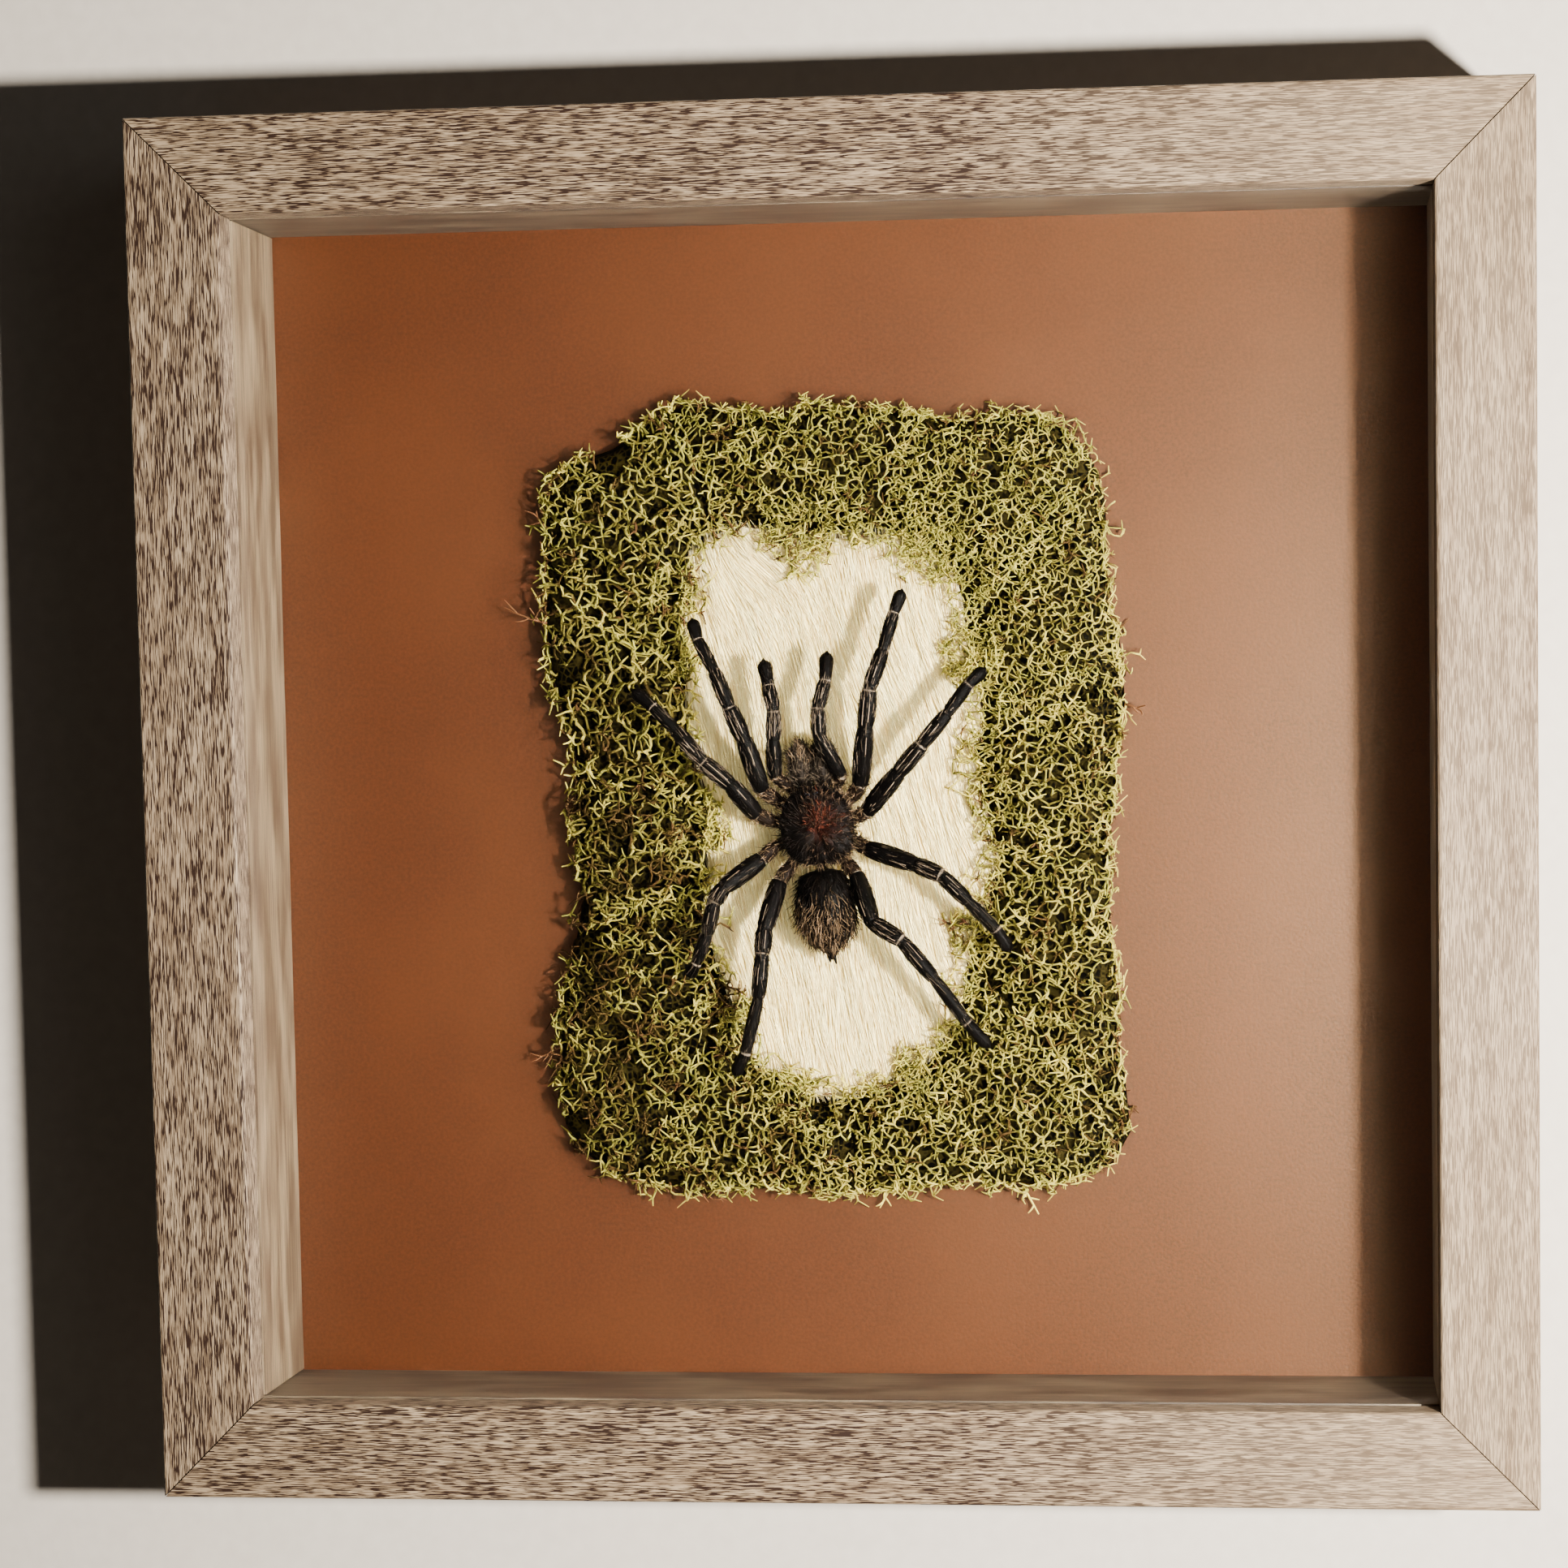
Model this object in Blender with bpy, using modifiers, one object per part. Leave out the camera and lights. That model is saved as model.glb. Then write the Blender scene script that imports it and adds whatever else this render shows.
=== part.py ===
"""A dried tarantula on a cream fur pad inside a moss wreath, in a square glazed shadow box.

Metres, +Z up. The box stands upright with its glass facing -Y, as it hangs on a wall. The origin is the
middle notch of the sawtooth hanger, where the wall's nail bears. Everything in the box is placed with
inside(): x and z from the middle of the frame, and lift above the backing board, all in millimetres.
"""

import math

import bmesh
import bpy
from mathutils import Matrix, Vector

MM = 0.001
GAP = 0.0003                                  # what touching pieces keep between them

# The box.
SIDE = 0.3556                                 # outside of the frame, 14 inches
HALF = SIDE / 2
FACE = 0.0248                                 # width of a rail's face
DEPTH = 0.0508                                # front to back of a rail
LIP = 0.0080                                  # thickness of the lip that holds the glass in
WALL = 0.0160                                 # width of a rail behind its lip
EASED = 0.0010                                # radius of the face's two long edges
PLAY = 0.0005                                 # room around the glass and the board in the rebate
GLASS = 0.0020
BOARD = 0.0030
BOARD_FRONT = 0.0420                          # depth of the board's face behind the frame's face
OPENING = HALF - FACE                         # half the sight opening
REBATE = HALF - WALL                          # half the rebate behind the lip

# The hanger on the top rail's back.
HANGER = (0.0450, 0.0100)                     # length and height of the strip
STRIP = 0.0010                                # thickness of the strip
STANDOFF = 0.0020                             # how far its middle stands off the rail
RAISED = 0.0260                               # length of its raised middle
NOTCHES = 9
NOTCH = (0.0016, 0.0020, 0.0025)              # width and height of a notch, and the pitch of the row
BRAD_HEAD = (0.0016, 0.0007)                  # radius and thickness
BRAD_SHANK = (0.0006, 0.0080)                 # radius and length
BRAD_POINT = 0.0015
BRAD_AT = 0.0190                              # along the strip, from its middle

BACK_Y = -(STRIP / 2 + STANDOFF + GAP)        # the rails' back faces
FRONT_Y = BACK_Y - DEPTH                      # the frame's face
TOP_Z = (WALL + HANGER[1]) / 2 - NOTCH[1]     # the frame's upper edge
CENTRE_Z = TOP_Z - HALF
BOARD_Y = FRONT_Y + BOARD_FRONT

# The steel tabs that hold the board in, two to a rail.
TAB = (0.0065, 0.0006)                        # width and thickness
TAB_BURIED = 0.0060
TAB_SHOWING = 0.0120
TAB_AT = 0.0900                               # along the rail, from its middle

# The wreath and the fur, seen from the front: radius in mm every 10 degrees from the right, turning
# counter-clockwise.
WREATH_AT = (-3.4, -1.4)                      # mm from the middle of the frame
OUTER = (74, 76, 82, 88, 95, 111, 118, 109, 107, 107, 106, 115, 113, 116, 100, 89, 78, 71,
         71, 71, 74, 85, 99, 115, 115, 108, 102, 102, 103, 106, 116, 118, 97, 86, 77, 74)
INNER = (40, 39, 40, 45, 51, 56, 68, 73, 74, 72, 75, 80, 77, 63, 51, 45, 40, 36,
         34, 36, 37, 40, 46, 52, 58, 70, 75, 77, 74, 70, 64, 54, 48, 46, 45, 43)
FUR_LIFT = 6.5                                # mm, tips of the fur above the board
FUR_EDGE = 0.7                                # mm, how far the fur stops short of the moss
FUR_LEAN = math.radians(14)                   # the hair's slant from straight down
LOCKS = (12, 5)                               # locks across and along the fur
LOCK_HEIGHT = 1.5                             # mm
LOCK_RISE = (0.35, 0.7, 1.0, 0.6)             # a lock's height from its root to its tip
# The clumps of the wreath: the angle where each begins, and how high it stands in mm.
CLUMPS = ((-10, 14), (24, 13), (52, 14), (80, 14), (112, 16), (140, 16), (172, 17), (206, 16), (240, 15),
          (272, 14), (312, 14))
MOSS_EDGE = 4.0                               # mm, how high a clump stands at its edges
CLUMP_GAP = 0.25                              # degrees left free at each end of a clump

# The spider. Its long axis leans a little to the left of straight up.
PROSOMA_AT = (-6.2, -4.9)                     # mm from the middle of the frame
BODY_HEADING = math.radians(96)
CARAPACE = (9.6, 10.6, 5.2)                   # mm, half width, half length, height of the dome
CARAPACE_RIM = 16.3                           # mm above the board
STERNUM = (5.0, 6.4)                          # mm, half width and half length
STERNUM_LIFT = 10.4
ABDOMEN_LIFT = 14.6
CHELICERA = (2.75, 6.3, 4.5)                  # mm, half width, half length and half height
CHELICERA_LIFT = 13.2
FANG = (1.1, 0.2, 7.0)                        # mm, radius at its root and tip, and length
FANG_AT = (0.0, -3.2, -0.4)                   # mm, its middle, from the chelicera's
FANG_FOLD = math.radians(158)

# Each limb in mm from the prosoma's middle: where it comes out from under the carapace, then the heading in
# degrees and the length of trochanter, femur, patella, tibia, metatarsus and tarsus as seen from the front,
# and the lift of each joint above the board. A palp has no metatarsus.
LIMBS = {
    "leg_left_1": ((-11.0, 6.5), (142, 105, 113, 112, 118, 106), (4.6, 13.7, 9.2, 10.0, 9.6, 5.3),
                   (13.5, 15.0, 20.5, 21.5, 21.0, 20.0, 19.0)),
    "leg_left_2": ((-12.0, 1.0), (155, 126, 138, 129, 134, 141), (4.6, 9.6, 9.5, 10.4, 8.8, 6.8),
                   (13.5, 15.0, 20.0, 22.0, 23.0, 23.0, 22.0)),
    "leg_left_3": ((-11.5, -5.5), (222, 217, 237, 256, 247, 237), (5.0, 11.4, 4.5, 8.3, 8.9, 4.2),
                   (13.5, 15.0, 20.5, 21.5, 20.5, 19.0, 17.0)),
    "leg_left_4": ((-8.0, -11.0), (236, 255, 264, 264, 255, 241), (4.6, 12.0, 6.6, 11.6, 15.4, 6.7),
                   (13.5, 15.0, 20.5, 21.5, 21.0, 19.5, 17.5)),
    "leg_right_1": ((8.8, 7.0), (55, 81, 83, 70, 73, 69), (4.4, 14.6, 10.2, 10.9, 10.1, 5.8),
                    (13.5, 15.0, 20.5, 21.5, 21.0, 20.5, 19.5)),
    "leg_right_2": ((10.0, 1.9), (28, 48, 49, 50, 53, 43), (3.4, 13.3, 9.8, 10.3, 9.4, 5.6),
                    (13.5, 15.0, 20.5, 22.0, 22.0, 21.0, 19.5)),
    "leg_right_3": ((9.6, -4.6), (-26, -17, -22, -45, -47, -60), (3.6, 13.7, 7.4, 9.6, 10.6, 6.4),
                    (13.5, 15.0, 20.0, 21.5, 21.0, 19.0, 17.0)),
    "leg_right_4": ((6.8, -9.4), (-50, -69, -31, -50, -55, -50), (4.8, 12.9, 9.0, 12.9, 14.7, 8.3),
                    (13.5, 15.0, 20.5, 22.0, 21.5, 19.5, 17.5)),
    "palp_left": ((-7.2, 9.8), (141, 89, 87, 102, 102), (4.9, 9.2, 7.8, 6.9, 6.5),
                  (13.5, 15.8, 18.8, 19.5, 18.5, 17.5)),
    "palp_right": ((5.2, 10.9), (60, 116, 92, 76, 87), (2.6, 10.9, 7.6, 7.4, 7.0),
                   (13.6, 16.5, 21.5, 21.5, 20.0, 18.5)),
}
LEG_RADII = (1.8, 2.0, 2.6, 2.35, 2.1, 1.75, 1.8)      # mm, coxa to tarsus, at each segment's thickest
PALP_RADII = (1.5, 1.7, 2.1, 2.0, 1.9, 1.95)
COXA_FROM = 7.7                               # mm from the prosoma's middle to a coxa's inner end
COXA_INNER_RADIUS = 1.2
# The places along a segment, as shares of its length, with the share of its radius at each.
SEGMENT_SHARES = ((0.3, 1.0), (0.75, 0.97), (1.0, 0.88))
TARSUS_SHARES = ((0.25, 1.0), (0.65, 1.0), (0.85, 0.8), (0.97, 0.4))
LIMB_SIDES = 2                                # a curve's bevel resolution: 8 sides


def inside(x, z, lift):
    """The point x and z mm from the middle of the frame and lift mm in front of the backing board."""
    return Vector((x * MM, BOARD_Y - lift * MM, CENTRE_Z + z * MM))


def on_spider(x, z, lift):
    return inside(PROSOMA_AT[0] + x, PROSOMA_AT[1] + z, lift)


def make_material(name, colour, roughness, metallic=0.0, alpha=1.0):
    made = bpy.data.materials.new(name)
    made.use_nodes = True
    shader = made.node_tree.nodes["Principled BSDF"]
    shader.inputs["Base Color"].default_value = (*colour, 1.0)
    shader.inputs["Roughness"].default_value = roughness
    shader.inputs["Metallic"].default_value = metallic
    shader.inputs["Alpha"].default_value = alpha
    made.diffuse_color = (*colour, alpha)
    return made


def link(obj, material, collection):
    collection.objects.link(obj)
    if material:
        obj.data.materials.append(material)
    return obj


def mesh_object(name, bm, material, collection):
    bmesh.ops.recalc_face_normals(bm, faces=bm.faces)
    mesh = bpy.data.meshes.new(name)
    bm.to_mesh(mesh)
    bm.free()
    return link(bpy.data.objects.new(name, mesh), material, collection)


def box(name, size, centre, material, collection):
    bm = bmesh.new()
    bmesh.ops.create_cube(bm, size=1.0)
    bmesh.ops.scale(bm, vec=Vector(size), verts=bm.verts)
    bmesh.ops.translate(bm, vec=Vector(centre), verts=bm.verts)
    return mesh_object(name, bm, material, collection)


def plate(name, outline, thickness, material, collection):
    """A flat outline in X and Y, closed and given a thickness along Z."""
    curve = bpy.data.curves.new(name, "CURVE")
    curve.dimensions = "2D"
    curve.fill_mode = "BOTH"
    curve.extrude = thickness / 2
    spline = curve.splines.new("POLY")
    spline.points.add(len(outline) - 1)
    for point, (x, y) in zip(spline.points, outline):
        point.co = (x, y, 0, 1)
    spline.use_cyclic_u = True
    return link(bpy.data.objects.new(name, curve), material, collection)


def as_mesh(obj, material, collection):
    """A curve object made a mesh in the same place, with its loose caps welded, so that it can be cut."""
    graph = bpy.context.evaluated_depsgraph_get()
    mesh = bpy.data.meshes.new_from_object(obj.evaluated_get(graph))
    name, placed = obj.name, obj.matrix_world.copy()
    bpy.data.objects.remove(obj)
    bm = bmesh.new()
    bm.from_mesh(mesh)
    bmesh.ops.remove_doubles(bm, verts=bm.verts, dist=1e-6)
    bpy.data.meshes.remove(mesh)
    made = mesh_object(name, bm, material, collection)
    made.matrix_world = placed
    return made


def boolean(obj, other, operation="DIFFERENCE"):
    other.hide_render = True
    other.display_type = "WIRE"
    modifier = obj.modifiers.new(operation.lower(), "BOOLEAN")
    modifier.operation = operation
    modifier.object = other


def turned(name, profile, steps, material, collection):
    """A profile of (radius, height) points, top to bottom, turned about Z."""
    mesh = bpy.data.meshes.new(name)
    points = [(radius, 0, height) for radius, height in profile]
    mesh.from_pydata(points, [(i, i + 1) for i in range(len(points) - 1)], [])
    obj = link(bpy.data.objects.new(name, mesh), material, collection)
    screw = obj.modifiers.new("turn", "SCREW")
    screw.steps = screw.render_steps = steps
    screw.use_merge_vertices = True
    screw.merge_threshold = 0.00001
    screw.use_smooth_shade = True
    return obj


# ---- The frame ----

def rail_profile():
    """A rail's section: distance in from the outer edge and depth behind the face, front edges eased."""
    arc = [math.radians(a) for a in (0, 30, 60, 90)]
    outer = [(EASED - EASED * math.cos(a), EASED - EASED * math.sin(a)) for a in arc]
    inner = [(FACE - EASED + EASED * math.sin(a), EASED - EASED * math.cos(a)) for a in arc]
    return outer + inner + [(FACE, LIP), (WALL, LIP), (WALL, DEPTH), (0, DEPTH)]


def rail(name, turn, material, collection):
    """One mitred rail: the section swept along X, its ends cut at 45 degrees, then turned to its side."""
    mitre_back = GAP / math.sqrt(2)
    bm = bmesh.new()
    section = bm.faces.new([bm.verts.new((-1, depth, across - HALF)) for across, depth in rail_profile()])
    swept = bmesh.ops.extrude_face_region(bm, geom=[section])["geom"]
    for vert in (v for v in swept if isinstance(v, bmesh.types.BMVert)):
        vert.co.x = 1
    for vert in bm.verts:
        vert.co.x *= -vert.co.z - mitre_back
    obj = mesh_object(name, bm, material, collection)
    obj.location = (0, FRONT_Y, CENTRE_Z)
    obj.rotation_euler = (0, turn, 0)
    obj.data.shade_smooth()
    obj.data.set_sharp_from_angle(angle=math.radians(40))
    return obj


def slot_cutter(rail_obj, cutters):
    """The slots that a rail's two tabs are pushed into."""
    bm = bmesh.new()
    depth = BOARD_FRONT + BOARD + GAP + TAB[1] / 2
    size = Vector((TAB[0] + 2 * GAP, TAB[1] + 2 * GAP, 2 * (TAB_BURIED + GAP)))
    for along in (-TAB_AT, TAB_AT):
        made = bmesh.ops.create_cube(bm, size=1.0)["verts"]
        bmesh.ops.scale(bm, vec=size, verts=made)
        bmesh.ops.translate(bm, vec=Vector((along, depth, WALL - HALF)), verts=made)
    cutter = mesh_object(rail_obj.name + "_slots", bm, None, cutters)
    cutter.matrix_basis = Matrix.LocRotScale(rail_obj.location, rail_obj.rotation_euler, None)
    boolean(rail_obj, cutter)


def tab(name, along, turn, material, collection):
    """A steel blade pushed into the rail behind the board, pointed where it is buried."""
    half, tip = TAB[0] / 2, TAB[0] / 3
    rounded = [math.radians(a) for a in range(0, 181, 30)]
    outline = [(-half, -TAB_BURIED + tip), (0, -TAB_BURIED), (half, -TAB_BURIED + tip)]
    outline += [(half * math.cos(a), TAB_SHOWING - half + half * math.sin(a)) for a in rounded]
    obj = plate(name, outline, TAB[1], material, collection)
    depth = BOARD_FRONT + BOARD + GAP + TAB[1] / 2
    flat = Matrix.Translation((along, depth, WALL - HALF)) @ Matrix.Rotation(math.pi / 2, 4, "X")
    obj.matrix_world = Matrix.Translation((0, FRONT_Y, CENTRE_Z)) @ Matrix.Rotation(turn, 4, "Y") @ flat
    return obj


def frame(parts, cutters, wrap, steel):
    turns = {"bottom": 0, "right": -math.pi / 2, "top": math.pi, "left": math.pi / 2}
    for side, turn in turns.items():
        made = rail("rail_" + side, turn, wrap, parts)
        slot_cutter(made, cutters)
        tab(f"board_tab_{side}_1", -TAB_AT, turn, steel, parts)
        tab(f"board_tab_{side}_2", TAB_AT, turn, steel, parts)


def glazing_and_board(parts, glass, wrap, card):
    """The glass behind the lip, four spacers behind the glass, flush with the lip, and the board."""
    across = 2 * (REBATE - PLAY)
    glass_back = LIP + GAP + GLASS
    box("glass_pane", (across, GLASS, across), (0, FRONT_Y + LIP + GAP + GLASS / 2, CENTRE_Z), glass, parts)
    box("backing_board", (across, BOARD, across), (0, BOARD_Y + BOARD / 2, CENTRE_Z), card, parts)
    deep = BOARD_FRONT - glass_back - 2 * GAP
    thick = REBATE - PLAY - OPENING
    middle_y = FRONT_Y + glass_back + GAP + deep / 2
    out = OPENING + thick / 2
    for side, way in (("top", 1), ("bottom", -1)):
        box("spacer_" + side, (across, deep, thick), (0, middle_y, CENTRE_Z + way * out), wrap, parts)
    upright = 2 * (OPENING - GAP)
    for side, way in (("right", 1), ("left", -1)):
        box("spacer_" + side, (thick, deep, upright), (way * out, middle_y, CENTRE_Z), wrap, parts)


def notch_cutter(cutters):
    """A row of triangular prisms whose upper edges are the bottoms of the notches."""
    width, height, pitch = NOTCH
    bm = bmesh.new()
    for step in range(NOTCHES):
        x = (step - (NOTCHES - 1) / 2) * pitch
        corners = ((x - width, -2 * height), (x + width, -2 * height), (x, 0))
        section = bm.faces.new([bm.verts.new((u, -STANDOFF, v)) for u, v in corners])
        swept = bmesh.ops.extrude_face_region(bm, geom=[section])["geom"]
        swept = [v for v in swept if isinstance(v, bmesh.types.BMVert)]
        bmesh.ops.translate(bm, vec=(0, 2 * STANDOFF, 0), verts=swept)
    return mesh_object("hanger_notches", bm, None, cutters)


def hanger(parts, cutters, steel):
    """A steel strip whose middle stands off the rail, notched along its lower edge, and its brads."""
    length, height = HANGER
    middle_z = height / 2 - NOTCH[1]
    end, top = length / 2, RAISED / 2 - STANDOFF
    near, far = -STANDOFF - STRIP / 2, -STRIP / 2
    low = [(-end, near), (-RAISED / 2, near), (-top, far), (top, far), (RAISED / 2, near), (end, near)]
    outline = low + [(x, y + STRIP) for x, y in reversed(low)]
    strip = plate("sawtooth_hanger", outline, height, steel, parts)
    strip.location = (0, 0, middle_z)
    bpy.context.view_layer.update()
    strip = as_mesh(strip, steel, parts)
    boolean(strip, notch_cutter(cutters))
    head, head_thick = BRAD_HEAD
    shank, shank_long = BRAD_SHANK
    profile = [(0, head_thick), (head * 0.7, head_thick * 0.9), (head, head_thick * 0.4), (head, 0),
               (shank, 0), (shank, BRAD_POINT - shank_long), (0, -shank_long)]
    for side, way in (("left", -1), ("right", 1)):
        at = (way * BRAD_AT, BACK_Y + GAP + STRIP + GAP, middle_z)
        brad = turned("brad_" + side, profile, 10, steel, parts)
        brad.matrix_basis = Matrix.Translation(at) @ Matrix.Rotation(-math.pi / 2, 4, "X")
        bm = bmesh.new()
        bmesh.ops.create_cone(bm, cap_ends=True, segments=12, radius1=shank + GAP, radius2=shank + GAP,
                              depth=2 * (shank_long + GAP))
        bore = mesh_object("bore_" + side, bm, None, cutters)
        bore.matrix_basis = brad.matrix_basis
        boolean(strip, bore)
        boolean(bpy.data.objects["rail_top"], bore)


# ---- The fur and the wreath ----

def around(radii, angle):
    """A radius read from a list of evenly spaced ones, on a smooth closed curve through them all."""
    count = len(radii)
    step = (angle % (2 * math.pi)) / (2 * math.pi) * count
    i, t = int(step) % count, step - int(step)
    a, b, c, d = (radii[(i + k) % count] for k in (-1, 0, 1, 2))
    return b + t * (c - a + t * (2 * a - 5 * b + 4 * c - d + t * (3 * (b - c) + d - a))) / 2


def ripple(x, z):
    """A gentle, fixed waviness between -1 and 1 for hand-laid stuff, from three crossed sine waves."""
    one = math.sin(0.31 * x + 0.17 * z)
    two = math.sin(0.23 * z - 0.12 * x + 1.3)
    return (one + two + math.sin(0.01 * x * z + 2.1)) / 3


def wreath_point(angle, radius, lift):
    return inside(WREATH_AT[0] + radius * math.cos(angle), WREATH_AT[1] + radius * math.sin(angle), lift)


def low_solid(name, top_rows, material, collection):
    """A solid on the board under a grid of top points: the grid, walls to the board, and one flat base."""
    bm = bmesh.new()
    top = [[bm.verts.new(point) for point in row] for row in top_rows]
    rows, columns = len(top), len(top[0])
    for i in range(rows - 1):
        for j in range(columns - 1):
            bm.faces.new((top[i][j], top[i][j + 1], top[i + 1][j + 1], top[i + 1][j]))
    rim = top[0] + [row[-1] for row in top[1:-1]] + top[-1][::-1] + [row[0] for row in top[-2:0:-1]]
    base = [bm.verts.new((v.co.x, BOARD_Y - GAP, v.co.z)) for v in rim]
    for i, vert in enumerate(rim):
        after = (i + 1) % len(rim)
        bm.faces.new((vert, rim[after], base[after], base[i]))
    bm.faces.new(base)
    return mesh_object(name, bm, material, collection)


def fur_pad(parts, fur):
    """The fur: a pad inside the wreath, its top made of overlapping locks that all lie one way."""
    columns, rows = 2 * LOCKS[0], len(LOCK_RISE) * LOCKS[1]
    grid = []
    for i in range(columns + 1):
        line = []
        for j in range(rows + 1):
            # The square grid is drawn in to a disc, and the disc to the wreath's inner edge.
            u, v = 2 * i / columns - 1, 2 * j / rows - 1
            across, along = u * math.sqrt(1 - v * v / 2), v * math.sqrt(1 - u * u / 2)
            share = math.hypot(across, along)
            angle = math.atan2(along, across) + FUR_LEAN
            radius = share * (around(INNER, angle) - FUR_EDGE)
            # Odd columns are the crests of locks, and every second lock starts half a lock further on.
            from_root = rows - j + (i // 2 % 2) * len(LOCK_RISE) // 2
            rise = LOCK_RISE[from_root % len(LOCK_RISE)] if i % 2 else 0.1
            lift = FUR_LIFT - LOCK_HEIGHT * (1 - rise) - 8 * max(0, share - 0.85)
            line.append(wreath_point(angle, radius, lift))
        grid.append(line)
    low_solid("fur_pad", grid, fur, parts)


def moss_clump(name, begin, end, height, material, collection):
    """One mound of the wreath between two angles: high in its middle, low at its sides, with a lumpy top."""
    columns, rows = 10, 9
    margin = math.radians(CLUMP_GAP)
    grid = []
    for i in range(columns):
        along = i / (columns - 1)
        angle = begin + margin + along * (end - begin - 2 * margin)
        crown = 0.72 + 0.28 * math.sqrt(math.sin(math.pi * along))
        low, high = around(INNER, angle) + 0.1, around(OUTER, angle)
        row = []
        for j in range(rows):
            share = j / (rows - 1)
            radius = low + (high - low) * (0.5 - 0.5 * math.cos(math.pi * share))
            dome = math.sqrt(1 - abs(math.cos(math.pi * share)) ** 3)
            x, z = radius * math.cos(angle), radius * math.sin(angle)
            lump = math.sin(0.55 * x + 1.1 * along) * math.sin(0.5 * z + 0.7) + ripple(1.7 * x, 1.7 * z)
            lift = MOSS_EDGE + (height - MOSS_EDGE) * dome * crown * (0.94 + 0.06 * lump)
            row.append(wreath_point(angle, radius, lift))
        grid.append(row)
    low_solid(name, grid, material, collection)


def wreath(parts, moss):
    for count, (begin, height) in enumerate(CLUMPS):
        end = CLUMPS[(count + 1) % len(CLUMPS)][0] + (360 if count == len(CLUMPS) - 1 else 0)
        moss_clump(f"moss_clump_{count + 1:02d}", math.radians(begin), math.radians(end), height, moss, parts)


# ---- The spider ----

def limb(name, material, collection):
    """A leg or palp: a tube along its joints, thickest in each segment and pinched at each joint."""
    exit_at, headings, lengths, lifts = LIMBS[name]
    radii = LEG_RADII if len(headings) == 6 else PALP_RADII
    reach = math.hypot(*exit_at)
    joints = [on_spider(exit_at[0] * COXA_FROM / reach, exit_at[1] * COXA_FROM / reach, lifts[0]),
              on_spider(*exit_at, lifts[0])]
    x, z = exit_at
    for heading, length, lift in zip(headings, lengths, lifts[1:]):
        x += length * math.cos(math.radians(heading))
        z += length * math.sin(math.radians(heading))
        joints.append(on_spider(x, z, lift))
    stations = [(joints[0], COXA_INNER_RADIUS)]
    for a, b, radius in zip(joints, joints[1:], radii):
        last = b == joints[-1]
        shares = TARSUS_SHARES if last else SEGMENT_SHARES
        stations += [(a.lerp(b, share), radius * scale) for share, scale in shares]
    curve = bpy.data.curves.new(name, "CURVE")
    curve.dimensions = "3D"
    curve.bevel_depth = MM
    curve.bevel_resolution = LIMB_SIDES
    curve.use_fill_caps = True
    spline = curve.splines.new("POLY")
    spline.points.add(len(stations) - 1)
    for point, (place, radius) in zip(spline.points, stations):
        point.co = (*place, 1)
        point.radius = radius
    link(bpy.data.objects.new(name, curve), material, collection)


def on_body_axis(obj, forward, sideways, lift):
    """Places an object whose Z runs along the spider's body, to the head, and whose Y points at the glass."""
    ahead = Vector((math.cos(BODY_HEADING), 0, math.sin(BODY_HEADING)))
    out = Vector((0, -1, 0))
    across = out.cross(ahead)
    x = forward * math.cos(BODY_HEADING) + sideways * math.sin(BODY_HEADING)
    z = forward * math.sin(BODY_HEADING) - sideways * math.cos(BODY_HEADING)
    turn = Matrix((across, out, ahead)).transposed().to_4x4()
    obj.matrix_basis = Matrix.Translation(on_spider(x, z, lift)) @ turn


def shaped_sphere(name, around_count, rings, shape, material, collection):
    """A sphere with its poles on Z, each point of which is moved by a shape function of its own direction."""
    bm = bmesh.new()
    bmesh.ops.create_uvsphere(bm, u_segments=around_count, v_segments=rings, radius=1.0)
    for vert in bm.verts:
        vert.co = Vector(shape(*vert.co)) * MM
    obj = mesh_object(name, bm, material, collection)
    obj.data.shade_smooth()
    return obj


def prosoma(parts, skin):
    """The front of the body: a domed, egg-shaped carapace over a narrower sternum that the coxae meet."""
    half_width, half_length, dome = CARAPACE

    def shape(x, y, z):
        # Here X is across, Y ahead and Z up, off the board.
        narrowing = 1 - 0.16 * max(0, y)
        if z >= -1e-6:
            head = 0.18 * math.exp(-((y - 0.5) / 0.35) ** 2 - (x / 0.4) ** 2)
            fovea = 0.12 * math.exp(-((y + 0.15) ** 2 + x ** 2) / 0.02)
            return x * narrowing * half_width, y * half_length, dome * (z ** 0.8 + (head - fovea) * z)
        under = min(1, -z / 0.2)
        wide = 1 - under * (1 - STERNUM[0] / half_width)
        long = 1 - under * (1 - STERNUM[1] / half_length)
        side = math.hypot(x, y)
        spread = 1 if side < 1e-6 else min(1 / side, 1 + 0.6 * under)
        return (x * spread * narrowing * half_width * wide, y * spread * half_length * long,
                z * (CARAPACE_RIM - STERNUM_LIFT))

    obj = shaped_sphere("prosoma", 20, 14, shape, skin, parts)
    obj.matrix_basis = Matrix.Translation(on_spider(0, 0, CARAPACE_RIM)) @ (
        Matrix.Rotation(math.pi / 2 - BODY_HEADING, 4, "Y") @ Matrix.Rotation(math.pi / 2, 4, "X"))


def abdomen(parts, skin):
    """The rear of the body: a bag turned about its long axis, with a stalk in front and spinnerets behind."""
    profile = [(0, 12.8), (1.2, 12.8), (1.4, 10.4), (5.0, 9.2), (6.9, 5.6), (7.6, 0.6), (7.2, -3.6),
               (5.4, -7.6), (2.7, -10.0), (1.7, -11.0), (1.3, -12.4), (0.6, -13.6), (0, -13.7)]
    obj = turned("abdomen", [(radius * MM, height * MM) for radius, height in profile], 20, skin, parts)
    on_body_axis(obj, -21.8, -0.5, ABDOMEN_LIFT)


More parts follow.
